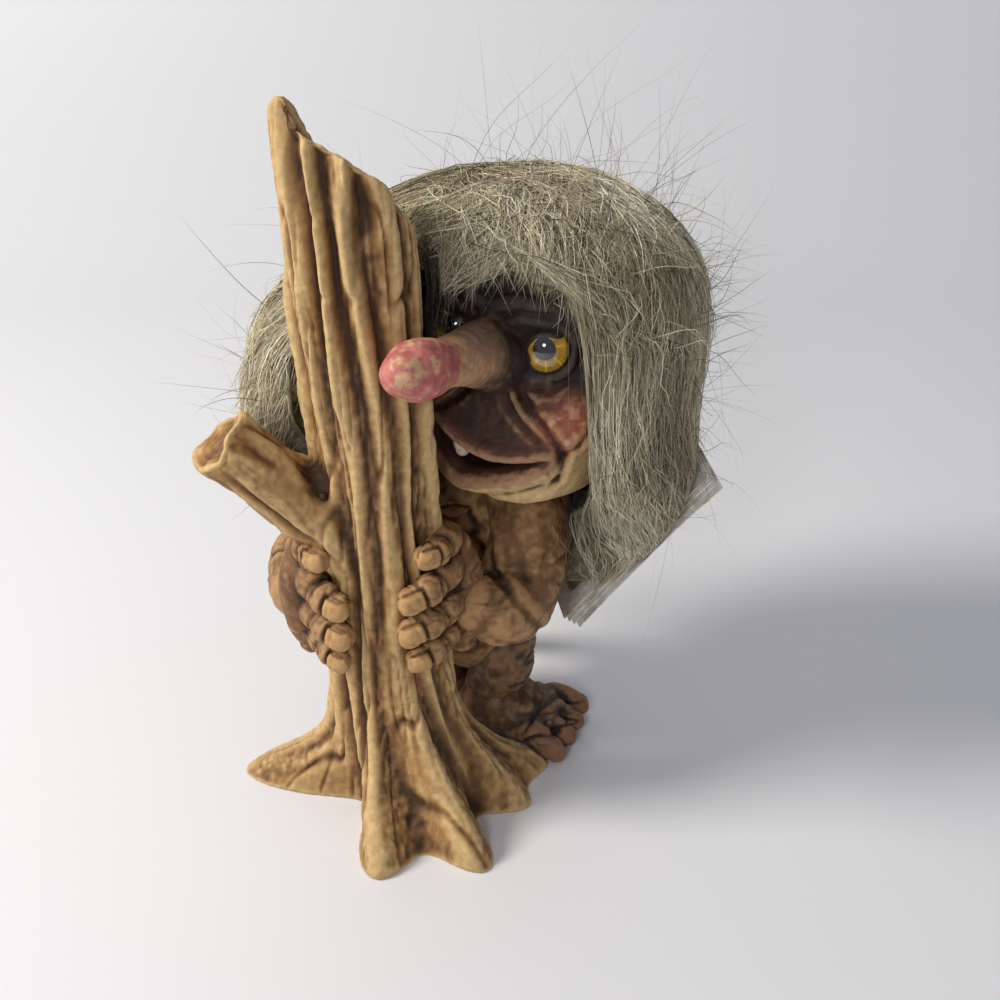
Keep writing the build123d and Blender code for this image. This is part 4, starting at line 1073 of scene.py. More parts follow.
# %% Nails and knuckles
def nail_place(points, stations):
    # 1 is the nail's edge; then the height over the nail, the distance from its middle and the tip's girth
    (tip, girth), before = stations[-1], stations[-2][0]
    way = (tip - before) / np.linalg.norm(tip - before)
    middle = 0.5 * (tip + before) + way * 0.5 * girth
    outward = np.array([middle[0] - stem_centre_x(middle[2]), middle[1], 0.0])
    outward = outward - way * (outward @ way)
    outward = outward / np.linalg.norm(outward)
    rel = points - middle
    inside = np.maximum(np.abs(rel @ way) / (0.92 * girth), np.abs(rel @ np.cross(way, outward)) / (0.74 * girth))
    return inside, rel @ outward, np.linalg.norm(rel, axis=1), girth


def nail_and_knuckle_cut(lines):
    def cut_for(points):
        cut = np.zeros(len(points))
        for stations in lines:
            inside, height, _, girth = nail_place(points, stations)
            plate = ease_between(1.04, 0.94, inside)
            trench = np.exp(-(((inside - 1.16) / 0.13) ** 2))
            outer = ease_between(0.0, 0.35 * girth, height) * (np.abs(height) < 2.2 * girth)
            cut += outer * (0.95 * trench - 0.55 * plate)
            spots = [station[0] for station in stations]
            for spot, ahead in ((spots[2], spots[3] - spots[1]), (spots[4], spots[5] - spots[3])):
                ahead = ahead / np.linalg.norm(ahead)
                rel = points - spot
                close = np.exp(-((np.linalg.norm(rel, axis=1) / (1.5 * girth)) ** 6))
                cut += 0.5 * close * np.exp(-(((rel @ ahead) / 0.75) ** 2))
                cut += 0.22 * close * np.exp(-(((rel @ ahead - 1.9) / 0.6) ** 2))
        return cut
    return cut_for


def nail_tone(lines):
    def tone(points, shades):
        for stations in lines:
            inside, height, far, girth = nail_place(points, stations)
            plate = ease_between(1.04, 0.94, inside) * ease_between(0.1, 0.5 * girth, height)
            shades = blend_tints(shades, tint(196, 154, 100), 0.6 * plate * (far < 2.4 * girth))
        return shades
    return tone


# %% [markdown]
# Three finger lines and a thumb for each hand: where they start and end round the trunk, their level and girth.

# %% Hands
left_lines = [finger_line(-2.0, end, 76.0 + rise * 11.0, girth, 5.0)
              for rise, girth, end in ((1.0, 1.0, -63.0), (0.0, 1.04, -66.0), (-0.95, 0.9, -60.0))]
left_lines.append(finger_line(0.0, -44.0, 95.0, 0.92, 0.0))
right_lines = [finger_line(184.0, end, 75.0 + rise * 11.0, girth, 4.0)
               for rise, girth, end in ((0.75, 1.0, 237.0), (-0.2, 1.0, 236.0), (-1.1, 0.84, 230.0))]
right_lines.append(finger_line(182.0, 216.0, 92.25, 0.95, -1.0))
for name, lines, angle, seed in (("left_hand", left_lines, 4.0, 171), ("right_hand", right_lines, 178.0, 181)):
    lumps = [tube(palm_line(angle), 32, 6)] + [tube(line, 24, 6) for line in lines]
    cast_limb(name + "_carved", name, lumps, 0.42, seed, SKIN, 0.45, nail_and_knuckle_cut(lines), nail_tone(lines))

# %% [markdown]
# ## Tail
# The tail leaves the body low at the back and curls to the floor behind the trunk.

# %% Tail
tail_root = np.array([BELLY_X + 2.0, BELLY_Y + 16.5, 46.0])
tail_end = tail_root + np.array([-22.0, 19.0, -38.0])
tail_line = [(tail_root, 7.5), (tail_root + [2.0, 13.0, -14.0], 6.0), (tail_root + [-8.0, 20.0, -31.0], 5.0),
             (tail_end, 4.0)]
cast_limb("tail_carved", "tail", [tube(tail_line, 32, 8)], 0.7, 191, FOOT_SKIN, 0.8)

# %% [markdown]
# ## Glass eyes
# The eyes are craft eyes of clear plastic over an amber ring with a black pupil. The ring is darker at its edges and
# has fine rays, which we paint on a dense disc. The clear dome lets shadow rays pass, so the ring under
# it is lit as it is through the real dome.

# %% Discs in an eye
def disc(rows, columns, inner, outer, height):
    turn = np.linspace(0.0, 2.0 * np.pi, columns, endpoint=False)
    rings = []
    for share in np.linspace(0.0, 1.0, rows):
        radius = inner + (outer - inner) * share
        rings.append(np.column_stack([radius * np.cos(turn), radius * np.sin(turn), np.full(columns, height(share))]))
    return np.concatenate(rings), grid_faces(rows, columns)


def set_in_eye(name, node, side, shape, colours, material):
    seat, way, across, rise = eye_frame(side)
    local, faces = shape
    points = seat + np.outer(local[:, 0], across) + np.outer(local[:, 1], rise) + np.outer(local[:, 2], way)
    mesh = bpy.data.meshes.new(name)
    mesh.from_pydata((points * MM).tolist(), [], faces)
    mesh.shade_smooth()
    piece = bpy.data.objects.new(name, mesh)
    scene.collection.objects.link(piece)
    if colours is not None:
        paint(piece, colours)
    mesh.materials.append(material)
    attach(piece, "figure")
    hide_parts(node)


# %% [markdown]
# Ring and pupil are painted and glossy. The dome is clear and coated, and a little dust makes its gloss uneven.

# %% Gloss and clear plastic
def glossy_paint(name, rough):
    material = painted_casting(name, 0.0, 0.5)
    shader = material.node_tree.nodes["Principled BSDF"]
    for link in list(material.node_tree.links):
        if link.to_socket == shader.inputs["Roughness"]:
            material.node_tree.links.remove(link)
    shader.inputs["Roughness"].default_value = rough
    return material


def clear_dome_material():
    material = bpy.data.materials.new("clear_dome")
    material.use_nodes = True
    nodes, links = material.node_tree.nodes, material.node_tree.links
    shader = nodes["Principled BSDF"]
    shader.inputs["Base Color"].default_value = (1.0, 0.98, 0.94, 1.0)
    shader.inputs["Transmission Weight"].default_value = 1.0
    shader.inputs["IOR"].default_value = 1.42
    shader.inputs["Coat Weight"].default_value = 1.0
    shader.inputs["Coat Roughness"].default_value = 0.03
    shader.inputs["Coat IOR"].default_value = 1.9
    dust = nodes.new("ShaderNodeTexNoise")
    dust.inputs["Scale"].default_value = 900.0
    haze = nodes.new("ShaderNodeMapRange")
    haze.inputs["To Min"].default_value = 0.02
    haze.inputs["To Max"].default_value = 0.09
    links.new(dust.outputs["Fac"], haze.inputs["Value"])
    links.new(haze.outputs["Result"], shader.inputs["Roughness"])
    passing = nodes.new("ShaderNodeBsdfTransparent")
    ray = nodes.new("ShaderNodeLightPath")
    choose = nodes.new("ShaderNodeMixShader")
    links.new(ray.outputs["Is Shadow Ray"], choose.inputs["Fac"])
    links.new(shader.outputs["BSDF"], choose.inputs[1])
    links.new(passing.outputs["BSDF"], choose.inputs[2])
    links.new(choose.outputs["Shader"], nodes["Material Output"].inputs["Surface"])
    return material


eye_gloss = glossy_paint("eye_gloss", 0.35)
eye_gloss.node_tree.nodes["Principled BSDF"].inputs["Specular IOR Level"].default_value = 0.1
eye_clear = clear_dome_material()
print("eye materials", eye_gloss.name, eye_clear.name)

# %% [markdown]
# Now the three parts of an eye, worked out once and set in both sockets.

# %% Eyes
PUPIL_EDGE, RING_EDGE, DOME_EDGE, DOME_RISE = 2.5, 6.95, 6.98, 4.6
DOME_RADIUS = (7.0 ** 2 + DOME_RISE ** 2) / (2 * DOME_RISE)


def dome_height(share):
    out = DOME_EDGE * (1 - share)
    return 2.0 + math.sqrt(DOME_RADIUS ** 2 - out ** 2) - (DOME_RADIUS - DOME_RISE)


def amber_ring():
    points, faces = disc(14, 160, PUPIL_EDGE, RING_EDGE, lambda share: 1.0 - 0.35 * math.sin(share * math.pi))
    turn = np.arctan2(points[:, 1], points[:, 0])
    out = (np.hypot(points[:, 0], points[:, 1]) - PUPIL_EDGE) / (RING_EDGE - PUPIL_EDGE)
    rays = layered_noise(np.column_stack([np.cos(turn) * 9.0, np.sin(turn) * 9.0, out * 0.8]), 201, 2)
    amber = np.tile(tint(176, 134, 24), (len(turn), 1))
    amber = blend_tints(amber, tint(222, 188, 58), ease_between(0.0, 0.7, rays))
    dim = 0.75 * ease_between(0.55, 1.0, out) + 0.25 * ease_between(0.3, 0.0, out)
    amber = blend_tints(amber, tint(84, 58, 10), dim)
    back_points, back_faces = disc(2, 160, PUPIL_EDGE, RING_EDGE, lambda share: 0.02)
    back_faces = [[i + len(points) for i in face][::-1] for face in back_faces]
    shades = np.concatenate([amber, np.tile(tint(84, 58, 10), (len(back_points), 1))])
    return (np.concatenate([points, back_points]), faces + back_faces), shades


ring_shape, ring_tones = amber_ring()
pupil_shape = disc(8, 64, 2.7, 0.02, lambda share: 1.02 + 0.25 * share)
pupil_tones = np.tile(tint(8, 7, 7), (len(pupil_shape[0]), 1))
under_dome = disc(4, 96, 0.02, DOME_EDGE, lambda share: 0.3)[0]
dome_shape = (np.concatenate([under_dome, disc(24, 96, DOME_EDGE, 0.02, dome_height)[0]]), grid_faces(28, 96))
for word, side in (("left", 1), ("right", -1)):
    set_in_eye(word + "_iris_painted", word + "_eye_iris", side, ring_shape, ring_tones, eye_gloss)
    set_in_eye(word + "_pupil_black", word + "_eye_pupil", side, pupil_shape, pupil_tones, eye_gloss)
    set_in_eye(word + "_dome_clear", word + "_eye_dome", side, dome_shape, None, eye_clear)
print("eyes set")

# %% [markdown]
# ## Tooth
# One tooth stands in the upper jaw, yellowed at its root and worn at its edge.

# %% Tooth
tooth_spot = on_face(39.6 - 4.5, -0.36 * HALF_MOUTH, MOUTH_LEVEL + 5.5)
tooth_line = [(tooth_spot - UP * 0.5, 2.9), (tooth_spot - UP * 3.4, 2.8), (tooth_spot - UP * 5.6, 2.2)]
tooth = clay("upper_tooth_carved", [tube(tooth_line, 28, 6)], 0.25)
tooth_points = points_of(tooth)
ivory = np.tile(tint(222, 210, 186), (len(tooth_points), 1))
ivory = blend_tints(ivory, tint(160, 128, 84), 0.7 * ease_between(-2.5, 1.0, tooth_points[:, 2] - tooth_spot[2]))
stain = ease_between(0.0, 0.8, layered_noise(tooth_points / 1.6, 211, 2))
ivory = blend_tints(ivory, tint(190, 168, 130), 0.6 * stain)
paint(tooth, ivory)
tooth.data.materials.append(glossy_paint("tooth_enamel", 0.4))
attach(tooth, "figure")
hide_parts("upper_tooth")
print("tooth", len(tooth_points), "points")

# %% [markdown]
# ## The shape of the wig
# The wig is long fur glued on the head. It stands away from the skull like a bell: narrow on the crown, wide at the
# cheeks and drawn in again at its lower edge. We describe that bell by its limits to the four sides at
# several levels, and can then ask for any place on it by a share of the fall and a direction.

# %% Bell of the wig
HAIR_TOP, HAIR_FALL = 195.0, 138.0
HAIR_SHAPE = np.array([
    # share of the fall, then the limits to the left, right, front and back
    (0.00, 24, 54, 26, 54), (0.03, 8, 67, 13, 68), (0.08, -7, 78, 2, 78), (0.17, -24, 91, -7, 88),
    (0.31, -43, 99, -12, 95), (0.46, -50, 101, -13, 97), (0.60, -48, 99, -9, 96), (0.72, -34, 95, 0, 93),
    (0.86, -4, 88, 12, 87), (1.00, 22, 76, 30, 76)], dtype=float)


def bell_limits(share):
    left, right, front, back = (smooth_curve(share, HAIR_SHAPE[:, 0], HAIR_SHAPE[:, i]) for i in (1, 2, 3, 4))
    return left, right, front, back, 0.5 * (left + right), 0.45 * back + 0.55 * front


def bell(share, angle):
    left, right, front, back, middle_x, middle_y = bell_limits(np.clip(share, 0.0, 1.0))
    closing = np.clip(1.0 + share / 0.06, 0.02, 1.0)
    across = np.cos(angle) / (0.5 * (right - left))
    deep = np.sin(angle) / np.where(np.sin(angle) > 0, back - middle_y, middle_y - front)
    reach = (np.abs(across) ** 2.3 + np.abs(deep) ** 2.3) ** (-1 / 2.3) * closing
    level = HAIR_TOP - np.maximum(share, 0.0) * HAIR_FALL - 2.5 * closing ** 2 + 2.0
    return np.stack([middle_x + reach * np.cos(angle), middle_y + reach * np.sin(angle), level], axis=-1)


def bell_outward(share, angle):
    down = bell(share + 0.01, angle) - bell(share - 0.01, angle)
    around = bell(share, angle + 0.01) - bell(share, angle - 0.01)
    outward = np.cross(down, around)
    side = around / (np.linalg.norm(around, axis=-1, keepdims=True) + 1e-9)
    return outward / (np.linalg.norm(outward, axis=-1, keepdims=True) + 1e-9), side


print("the wig is", HAIR_SHAPE[:, 2].max() - HAIR_SHAPE[:, 1].min(), "wide at most")

# %% [markdown]
# ## The dense underfur
# Under the long hairs the fur is so dense that nothing shines through. We knead the measured solids of the wig
# into one mass and let it shrink by a few millimetres, so that the long hairs lie on it.

# %% Underfur
HAIR_NODES = ("hair_crown", "hair_fringe", "hair_left_side", "hair_right_side", "hair_back")


def measured_lump(node):
    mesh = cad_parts[node].data
    flat = np.empty(3 * len(mesh.vertices))
    mesh.vertices.foreach_get("co", flat)
    return flat.reshape(-1, 3) / MM, [list(face.vertices) for face in mesh.polygons]


def draw_in(points):
    # Beside the cheek the fur has been pressed flat, and on the crown it has settled a little
    points = points.copy()
    pressed = hump(points[..., 2] - 128.0, 20.0) * ease_between(82.0, 56.0, points[..., 1])
    points[..., 0] -= 8.0 * pressed * ease_between(40.0, 98.0, points[..., 0])
    points[..., 2] -= 1.6 * ease_between(180.0, 195.0, points[..., 2])
    return points


underfur = clay("wig_underfur", [measured_lump(node) for node in HAIR_NODES], 1.5)
fur_points = soften(points_of(underfur), edges_of(underfur), 5)
set_points(underfur, fur_points)
set_points(underfur, draw_in(fur_points - 3.4 * normals_of(underfur)))
for _ in range(2):
    set_points(underfur, soften(points_of(underfur), edges_of(underfur), 3))
print("underfur", len(underfur.data.polygons), "faces")

# %% [markdown]
# ## Growing the long hairs
# Fur falls in locks: hairs of a lock start apart, swing together and meet towards the tip. Each lock gets a
# start on the bell and a length, drifts a little to the side with its neighbours, and every hair in it
# has its own small waves. All hairs are worked out at once as one table of points.

# %% Locks
RINGS = 10
dice = np.random.default_rng(20)


def lock_starts(count):
    share = dice.uniform(-0.06, 0.78, 6 * count)
    girth = (bell(share, 0.0 * share) - bell(share, 0.0 * share + np.pi))[:, 0]
    share = share[dice.random(len(share)) < girth / 151.0 * np.clip(1.0 + share / 0.06, 0.25, 1.0)][:count]
    return share, dice.uniform(-np.pi, np.pi, len(share))


def grow_locks(share, angle, hairs, length, tousle=1.0, lift=2.4):
    # Returns the hairs' points as hairs x rings x 3
    locks = len(share)
    step = np.linspace(0.0, 1.0, RINGS)
    length = length[:, None] * dice.uniform(0.72, 1.08, (locks, hairs))
    drift = 0.75 * smooth_noise(np.column_stack([np.cos(angle) * 1.3, np.sin(angle) * 1.3, share * 2.2]), 301)
    layer = dice.uniform(0.2, 3.8, locks)
    layer -= 2.6 * smooth_noise(np.column_stack([np.cos(angle) * 2.0, np.sin(angle) * 2.0, share * 4.0]), 303)
    tip_lift = dice.uniform(0.0, lift, (locks, hairs))
    spread = dice.normal(0.0, 1.0, (locks, hairs)) * 3.2
    sink = dice.normal(0.0, 0.7, (locks, hairs))
    lock_wave = dice.uniform(1.0, 5.0, locks)
    lock_turns = dice.uniform(0.6, 1.7, locks)
    lock_phase = dice.uniform(0.0, 2.0 * np.pi, locks)
    own_wave = tousle * np.abs(dice.normal(0.0, 1.3, (locks, hairs)))
    own_turns = dice.uniform(0.8, 2.6, (locks, hairs))
    own_phase = dice.uniform(0.0, 2.0 * np.pi, (locks, hairs))
    run = step[None, None, :]
    shares = share[:, None, None] + length[..., None] * run
    shares = np.minimum(shares, 1.0 + 0.02 * sink[..., None])
    aside = spread[..., None] * (1.0 - 0.6 * run)
    swing = np.sin(lock_turns[:, None, None] * 2 * np.pi * run + lock_phase[:, None, None])
    own_run = own_turns[..., None] * 2 * np.pi * run
    aside = aside + lock_wave[:, None, None] * swing
    aside = aside + own_wave[..., None] * np.sin(own_run + own_phase[..., None])
    depth = layer[:, None, None] + sink[..., None] * (1.0 - 0.4 * run) + 5.0 * (1.0 - ease_between(0.0, 0.4, run))
    depth = depth - tip_lift[..., None] * run ** 2
    depth = depth + 0.6 * own_wave[..., None] * np.cos(own_run + 1.3 * own_phase[..., None])
    frizz = tousle * np.abs(dice.normal(0.0, 0.5, (locks, hairs)))[..., None] * (0.3 + 0.7 * run)
    frizz_turns = dice.uniform(2.2, 3.6, (locks, hairs))[..., None] * 2 * np.pi
    aside = aside + frizz * np.sin(frizz_turns * run + 2.0 * own_phase[..., None])
    depth = depth + frizz * np.cos(frizz_turns * run + 3.0 * own_phase[..., None])
    angles = angle[:, None, None] + drift[:, None, None] * length[..., None] * run + aside / 62.0
    shares = np.broadcast_to(shares, angles.shape)
    outward = bell_outward(shares, angles)[0]
    points = bell(shares, angles) - depth[..., None] * outward
    return points.reshape(-1, RINGS, 3)


# %% [markdown]
# ## The opening for the face
# Seen from the front the fur leaves an opening for the face. A ragged fringe ends above the brow, and beside the cheek
# the hairs slide over like a curtain. The opening is easiest to draw as two edges in the picture that the
# camera takes, in thousandths of its width.

# %% Edges of the opening
PICTURE_MIDDLE, PICTURE_SCALE = 500.0, 1700.0
FACE_LEFT = 416.0
VIEW_WAY = np.array([0.0, math.cos(LOOK_DOWN), -math.sin(LOOK_DOWN)])
VIEW_UP = np.array([0.0, math.sin(LOOK_DOWN), math.cos(LOOK_DOWN)])


def seen_at(points):
    off = points - np.array(camera.location) / MM
    depth = off @ VIEW_WAY
    across, up = PICTURE_SCALE * off[..., 0] / depth, PICTURE_SCALE * (off @ VIEW_UP) / depth
    return PICTURE_MIDDLE + across, PICTURE_MIDDLE - up, depth


def fringe_edge(across):
    places = [418, 436, 462, 490, 514, 534, 560, 576, 592]
    return np.interp(across, places, [300, 292, 288, 276, 270, 290, 306, 322, 345])


def curtain_edge(down):
    places = [300, 330, 350, 400, 450, 500, 518, 540, 620]
    return np.interp(down, places, [574, 581, 586, 591, 596, 594, 562, 542, 550])

print("the head's middle is seen at", seen_at(HEAD_AT + UP * 150.0)[:2])

# %% [markdown]
# ## Parting the hair
# A hair that would hang into the opening is cut at the fringe or moved aside to the curtain. Hairs that stand out
# of the bell are laid on it again, and those that got a sharp kink are dropped.

# %% Parting
def shorten_to(points, keep):
    # Runs each hair along its own line again, but only over the kept share of it
    mark = np.linspace(0.0, 1.0, RINGS)[None, :] * keep[:, None] * (RINGS - 1)
    low = np.clip(mark.astype(int), 0, RINGS - 2)
    part = (mark - low)[..., None]
    rows = np.arange(len(points))[:, None]
    return points[rows, low] * (1.0 - part) + points[rows, low + 1] * part


def clear_the_face(points):
    count = len(points)
    across, down = seen_at(points)[:2]
    ragged = dice.normal(0.0, 6.0, count) + (dice.random(count) < 0.05) * dice.uniform(0.0, 36.0, count)
    inside = (points[..., 1] < 26.0) & (across > FACE_LEFT) & (across < curtain_edge(down) - 3.0) & (down < 640.0)
    inside &= down > fringe_edge(across) + ragged[:, None]
    first = np.where(inside.any(axis=1), inside.argmax(axis=1), RINGS - 1)
    kept = first >= 3
    ends = np.where(first[kept] < RINGS - 1, first[kept] - 0.6, RINGS - 1.0)
    return shorten_to(points[kept], ends / (RINGS - 1.0))


def drop_kinked(points):
    ways = np.diff(points, axis=1)
    ways /= np.linalg.norm(ways, axis=2, keepdims=True) + 1e-9
    return points[(np.sum(ways[:, 1:] * ways[:, :-1], axis=2) > 0.45).all(axis=1)]


def stay_on_bell(points, spare):
    # Hairs that stand out of the bell lie down on it again, straight to the back or to the front
    share = (HAIR_TOP - points[..., 2]) / HAIR_FALL
    left, right, front, back, middle_x, middle_y = bell_limits(np.clip(share, 0.0, 1.0))
    half = 0.5 * (right - left) + spare
    across = np.clip((points[..., 0] - middle_x) / half, -1.0, 1.0)
    room = (1.0 - np.abs(across) ** 2.3) ** (1 / 2.3)
    low = middle_y - (middle_y - front + spare) * room
    high = middle_y + (back - middle_y + spare) * room
    laid = np.stack([middle_x + across * half, np.clip(points[..., 1], low, high), points[..., 2]], axis=-1)
    return np.where((share > 0.02)[..., None], laid, points)


def part_the_hair(points):
    across, down, depth = seen_at(points)
    edge = curtain_edge(down) + dice.exponential(32.0, len(points))[:, None]
    above = fringe_edge(across)
    falling = ease_between(above - 28.0, above + 8.0, down) * (points[..., 1] < 26.0)
    short_of = np.maximum.accumulate(np.maximum(edge - across, 0.0) * falling * (down < 506.0), axis=1)
    near = short_of.max(axis=1, keepdims=True) < 90.0
    points = points.copy()
    points[..., 0] += short_of * near * depth / PICTURE_SCALE
    return drop_kinked(draw_in(clear_the_face(stay_on_bell(points, 1.0))))


# %% [markdown]
# ## Off the trunk and on the tag
# No hair may run through the trunk: it is pushed off the stem, and ends where it would cross the front of the stem or
# the stub. Below, the fur lies on the booklet tag, so the tag's place is needed here for the first time.

# %% Resting on trunk and tag
TAG_CORNER = np.array([52.5, 33.0, 44.0])
TAG_LONG = np.array([0.627787, -0.043899, 0.777146])
TAG_UP = np.array([-0.744924, -0.323370, 0.583494])
TAG_BACK = np.cross(TAG_UP, TAG_LONG)


def end_before(points, blocked):
    # Ends each hair one ring before its first blocked point, and drops hairs that get too short
    first = np.where(blocked.any(axis=1), blocked.argmax(axis=1), RINGS)
    kept = first >= 4
    return shorten_to(points[kept], np.minimum(first[kept] - 1.0, RINGS - 1.0) / (RINGS - 1.0))


def keep_off_trunk(points):
    across = points[..., 0] - stem_centre_x(points[..., 2])
    far = np.hypot(across, points[..., 1])
    room = 1.06 * stem_radius(points[..., 2]) + 2.4
    in_front = (far < room + 1.0) & (points[..., 1] < 7.0) & (points[..., 2] < 222.0)
    rel = points - STUB_START
    along = rel @ STUB_WAY
    off_stub = np.linalg.norm(rel - along[..., None] * STUB_WAY, axis=-1)
    in_front |= (off_stub < 14.5) & (along > 0.0) & (along < 66.0)
    push = np.maximum(room - far, 0.0) / np.maximum(far, 1.0)
    points = points + np.stack([across * push, points[..., 1] * push, 0.0 * push], axis=-1)
    return end_before(points, in_front)


def rest_on_tag(points):
    sunk = 0.9 - (points - TAG_CORNER) @ TAG_UP
    points = points + np.maximum(sunk, 0.0)[..., None] * TAG_UP
    low = (points[..., 2] < 46.0).any(axis=1)
    return points[~low]


# %% [markdown]
# ## Hairs as thin tubes
# Every hair becomes a tube of three sides that tapers to its tip. A few thousand of them share one mesh, each with
# its own field on a texture sheet, so that the colours can later be baked.

# %% Hair meshes
def hair_mesh(name, points, girth, colours, material):
    hairs, sides = len(points), 3
    ways = np.gradient(points, axis=1)
    ways /= np.linalg.norm(ways, axis=2, keepdims=True) + 1e-9
    helper = np.where(np.abs(ways[..., 2:3]) < 0.8, UP, FACING)
    across = np.cross(ways, helper)
    across /= np.linalg.norm(across, axis=2, keepdims=True) + 1e-9
    third = np.cross(ways, across)
    taper = np.interp(np.linspace(0, 1, RINGS), [0.0, 0.25, 0.7, 1.0], [0.8, 1.0, 0.75, 0.08])
    corner = np.arange(sides) * 2.0 * np.pi / sides
    swing = (across[:, :, None, :] * np.cos(corner)[None, None, :, None]
             + third[:, :, None, :] * np.sin(corner)[None, None, :, None])
    skin = points[:, :, None, :] + swing * (girth[:, None] * taper[None, :])[:, :, None, None]
    ring = np.arange(RINGS - 1)[:, None] * sides
    here, beside = np.arange(sides)[None, :], (np.arange(sides)[None, :] + 1) % sides
    quad = np.stack([ring + here, ring + beside, ring + sides + beside, ring + sides + here], axis=-1).reshape(-1, 4)
    faces = (quad[None] + (np.arange(hairs) * RINGS * sides)[:, None, None]).reshape(-1, 4)
    mesh = bpy.data.meshes.new(name)
    mesh.vertices.add(hairs * RINGS * sides)
    mesh.vertices.foreach_set("co", (skin * MM).ravel())
    mesh.loops.add(faces.size)
    mesh.loops.foreach_set("vertex_index", faces.ravel().astype(np.int32))
    mesh.polygons.add(len(faces))
    mesh.polygons.foreach_set("loop_start", (np.arange(len(faces)) * 4).astype(np.int32))
    mesh.update(calc_edges=True)
    mesh.shade_smooth()
    # One field of the texture sheet for each hair
    grid = int(math.ceil(math.sqrt(hairs)))
    u = np.stack([here + 0 * ring, here + 1 + 0 * ring, here + 1 + 0 * ring, here + 0 * ring], axis=-1) / sides
    v = np.stack([ring + 0 * here, ring + 0 * here, ring + sides + 0 * here, ring + sides + 0 * here], axis=-1)
    field = np.stack([u, v / (sides * (RINGS - 1.0))], axis=-1).reshape(1, -1, 2) * 0.86 + 0.07
    place = np.stack([np.arange(hairs) % grid, np.arange(hairs) // grid], axis=-1)[:, None, :]
    sheet = mesh.uv_layers.new(name="OFBake")
    sheet.data.foreach_set("uv", ((field + place) / grid).ravel())
    piece = bpy.data.objects.new(name, mesh)
    scene.collection.objects.link(piece)
    paint(piece, np.repeat(colours.reshape(-1, 3), sides, axis=0))
    mesh.materials.append(material)
    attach(piece, "figure")
    print(name, hairs, "hairs", len(faces), "faces")
    return piece


# %% [markdown]
# ## Fur colours
# The fur is a greenish grey-blond. Neighbouring locks differ, each hair is painted darker at its root as
# shade, and the tips are bleached. Some coarse guard hairs are nearly black, and these are the ones that stand off the
# wig.
# The underfur gets the same colours much darker, as painted shade deep in the fur, and nearly black in the
# opening for the face, as painted shadow under the fringe.

# %% Fur colours
def fur_material(name, shine, rough):
    material = bpy.data.materials.new(name)
    material.use_nodes = True
    nodes, links = material.node_tree.nodes, material.node_tree.links
    shader = nodes["Principled BSDF"]
    shader.inputs["Roughness"].default_value = rough
    shader.inputs["Specular IOR Level"].default_value = shine
    colour = nodes.new("ShaderNodeAttribute")
    colour.attribute_name = "paint"
    mottle = nodes.new("ShaderNodeTexNoise")
    mottle.inputs["Scale"].default_value = 260.0
    mottle.inputs["Detail"].default_value = 3.0
    shade = nodes.new("ShaderNodeMapRange")
    shade.inputs["To Min"].default_value = 0.72
    shade.inputs["To Max"].default_value = 1.28
    mixed = nodes.new("ShaderNodeMix")
    mixed.data_type = "RGBA"
    mixed.blend_type = "MULTIPLY"
    mixed.inputs["Factor"].default_value = 1.0
    links.new(mottle.outputs["Fac"], shade.inputs["Value"])
    links.new(colour.outputs["Color"], mixed.inputs["A"])
    links.new(shade.outputs["Result"], mixed.inputs["B"])
    links.new(mixed.outputs["Result"], shader.inputs["Base Color"])
    return material


def fur_colours(points, dark_share):
    hairs = len(points)
    start = points[:, 3]
    patch = layered_noise(start / 16.0, 311, 3) + 0.5 * dice.normal(0.0, 0.6, hairs)
    tone = np.tile(tint(216, 204, 172), (hairs, 1))
    tone = blend_tints(tone, tint(242, 234, 212), ease_between(0.1, 0.9, patch))
    tone = blend_tints(tone, tint(160, 147, 118), ease_between(0.0, 0.9, -patch))
    tone = tone * np.clip(np.exp(dice.normal(0.0, 0.34, (hairs, 1))), 0.40, 1.45)
    tone = blend_tints(tone, tint(58, 50, 42), (dice.random(hairs) < dark_share) * 0.9)
    run = np.interp(np.linspace(0, 1, RINGS), [0.0, 0.3, 1.0], [0.50, 0.88, 1.12])
    return tone[:, None, :] * run[None, :, None]


fur = fur_material("long_fur", 0.30, 0.50)
guard_fur = fur_material("guard_hairs", 0.25, 0.55)
under_points = points_of(underfur)
# The underfur is painted at 0.40 of the hair tone: painted shade, deep in the fur between the long hairs.
under_tone_with_shade = fur_colours(np.repeat(under_points[:, None, :], RINGS, axis=1), 0.0)[:, 2] * 0.40
# Where the underfur shows in the opening for the face, below the fringe, it is darkened nearly to black as painted
# shadow.
under_across, under_down = seen_at(under_points)[:2]
fringe_shadow = (under_points[:, 1] < 30.0) & (under_across > FACE_LEFT) & (under_down < 560.0)
fringe_shadow &= under_across < curtain_edge(under_down)
under_tone_with_shade[fringe_shadow] *= 1.0 - 0.85 * ease_between(-12.0, 4.0, under_down - fringe_edge(under_across))[fringe_shadow, None]
paint(underfur, under_tone_with_shade)
underfur.data.materials.append(fur)
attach(underfur, "figure")
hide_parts(*HAIR_NODES)
print("mean tone of the underfur", under_tone_with_shade.mean(axis=0))

# %% [markdown]
# ## Filling the wig
# Now the long hairs are grown, parted, laid on the tag and turned into meshes.

# %% Long hairs
LOCKS = 1300
HAIRS_IN_A_MESH = 3500
lock_share, lock_angle = lock_starts(LOCKS)
long_hairs = grow_locks(lock_share, lock_angle, 16, dice.uniform(0.30, 0.60, len(lock_share)))
fluff_share, fluff_angle = lock_starts(LOCKS)
fluff = grow_locks(0.5 * fluff_share, fluff_angle, 5, dice.uniform(0.07, 0.18, len(fluff_share)), 2.4)
frizz_share, frizz_angle = lock_starts(LOCKS // 2)
frizz = grow_locks(0.8 * frizz_share, frizz_angle, 4, dice.uniform(0.08, 0.26, len(frizz_share)), 2.4, 7.0)
print("grown", len(long_hairs), "long hairs,", len(fluff), "short ones and", len(frizz), "that stand off a little")


# %% [markdown]
# On top the fur is swept over the crown towards the brow and to both sides, so that no parting point
# shows. These locks run as lines in plan, and the bell tells how high they lie.

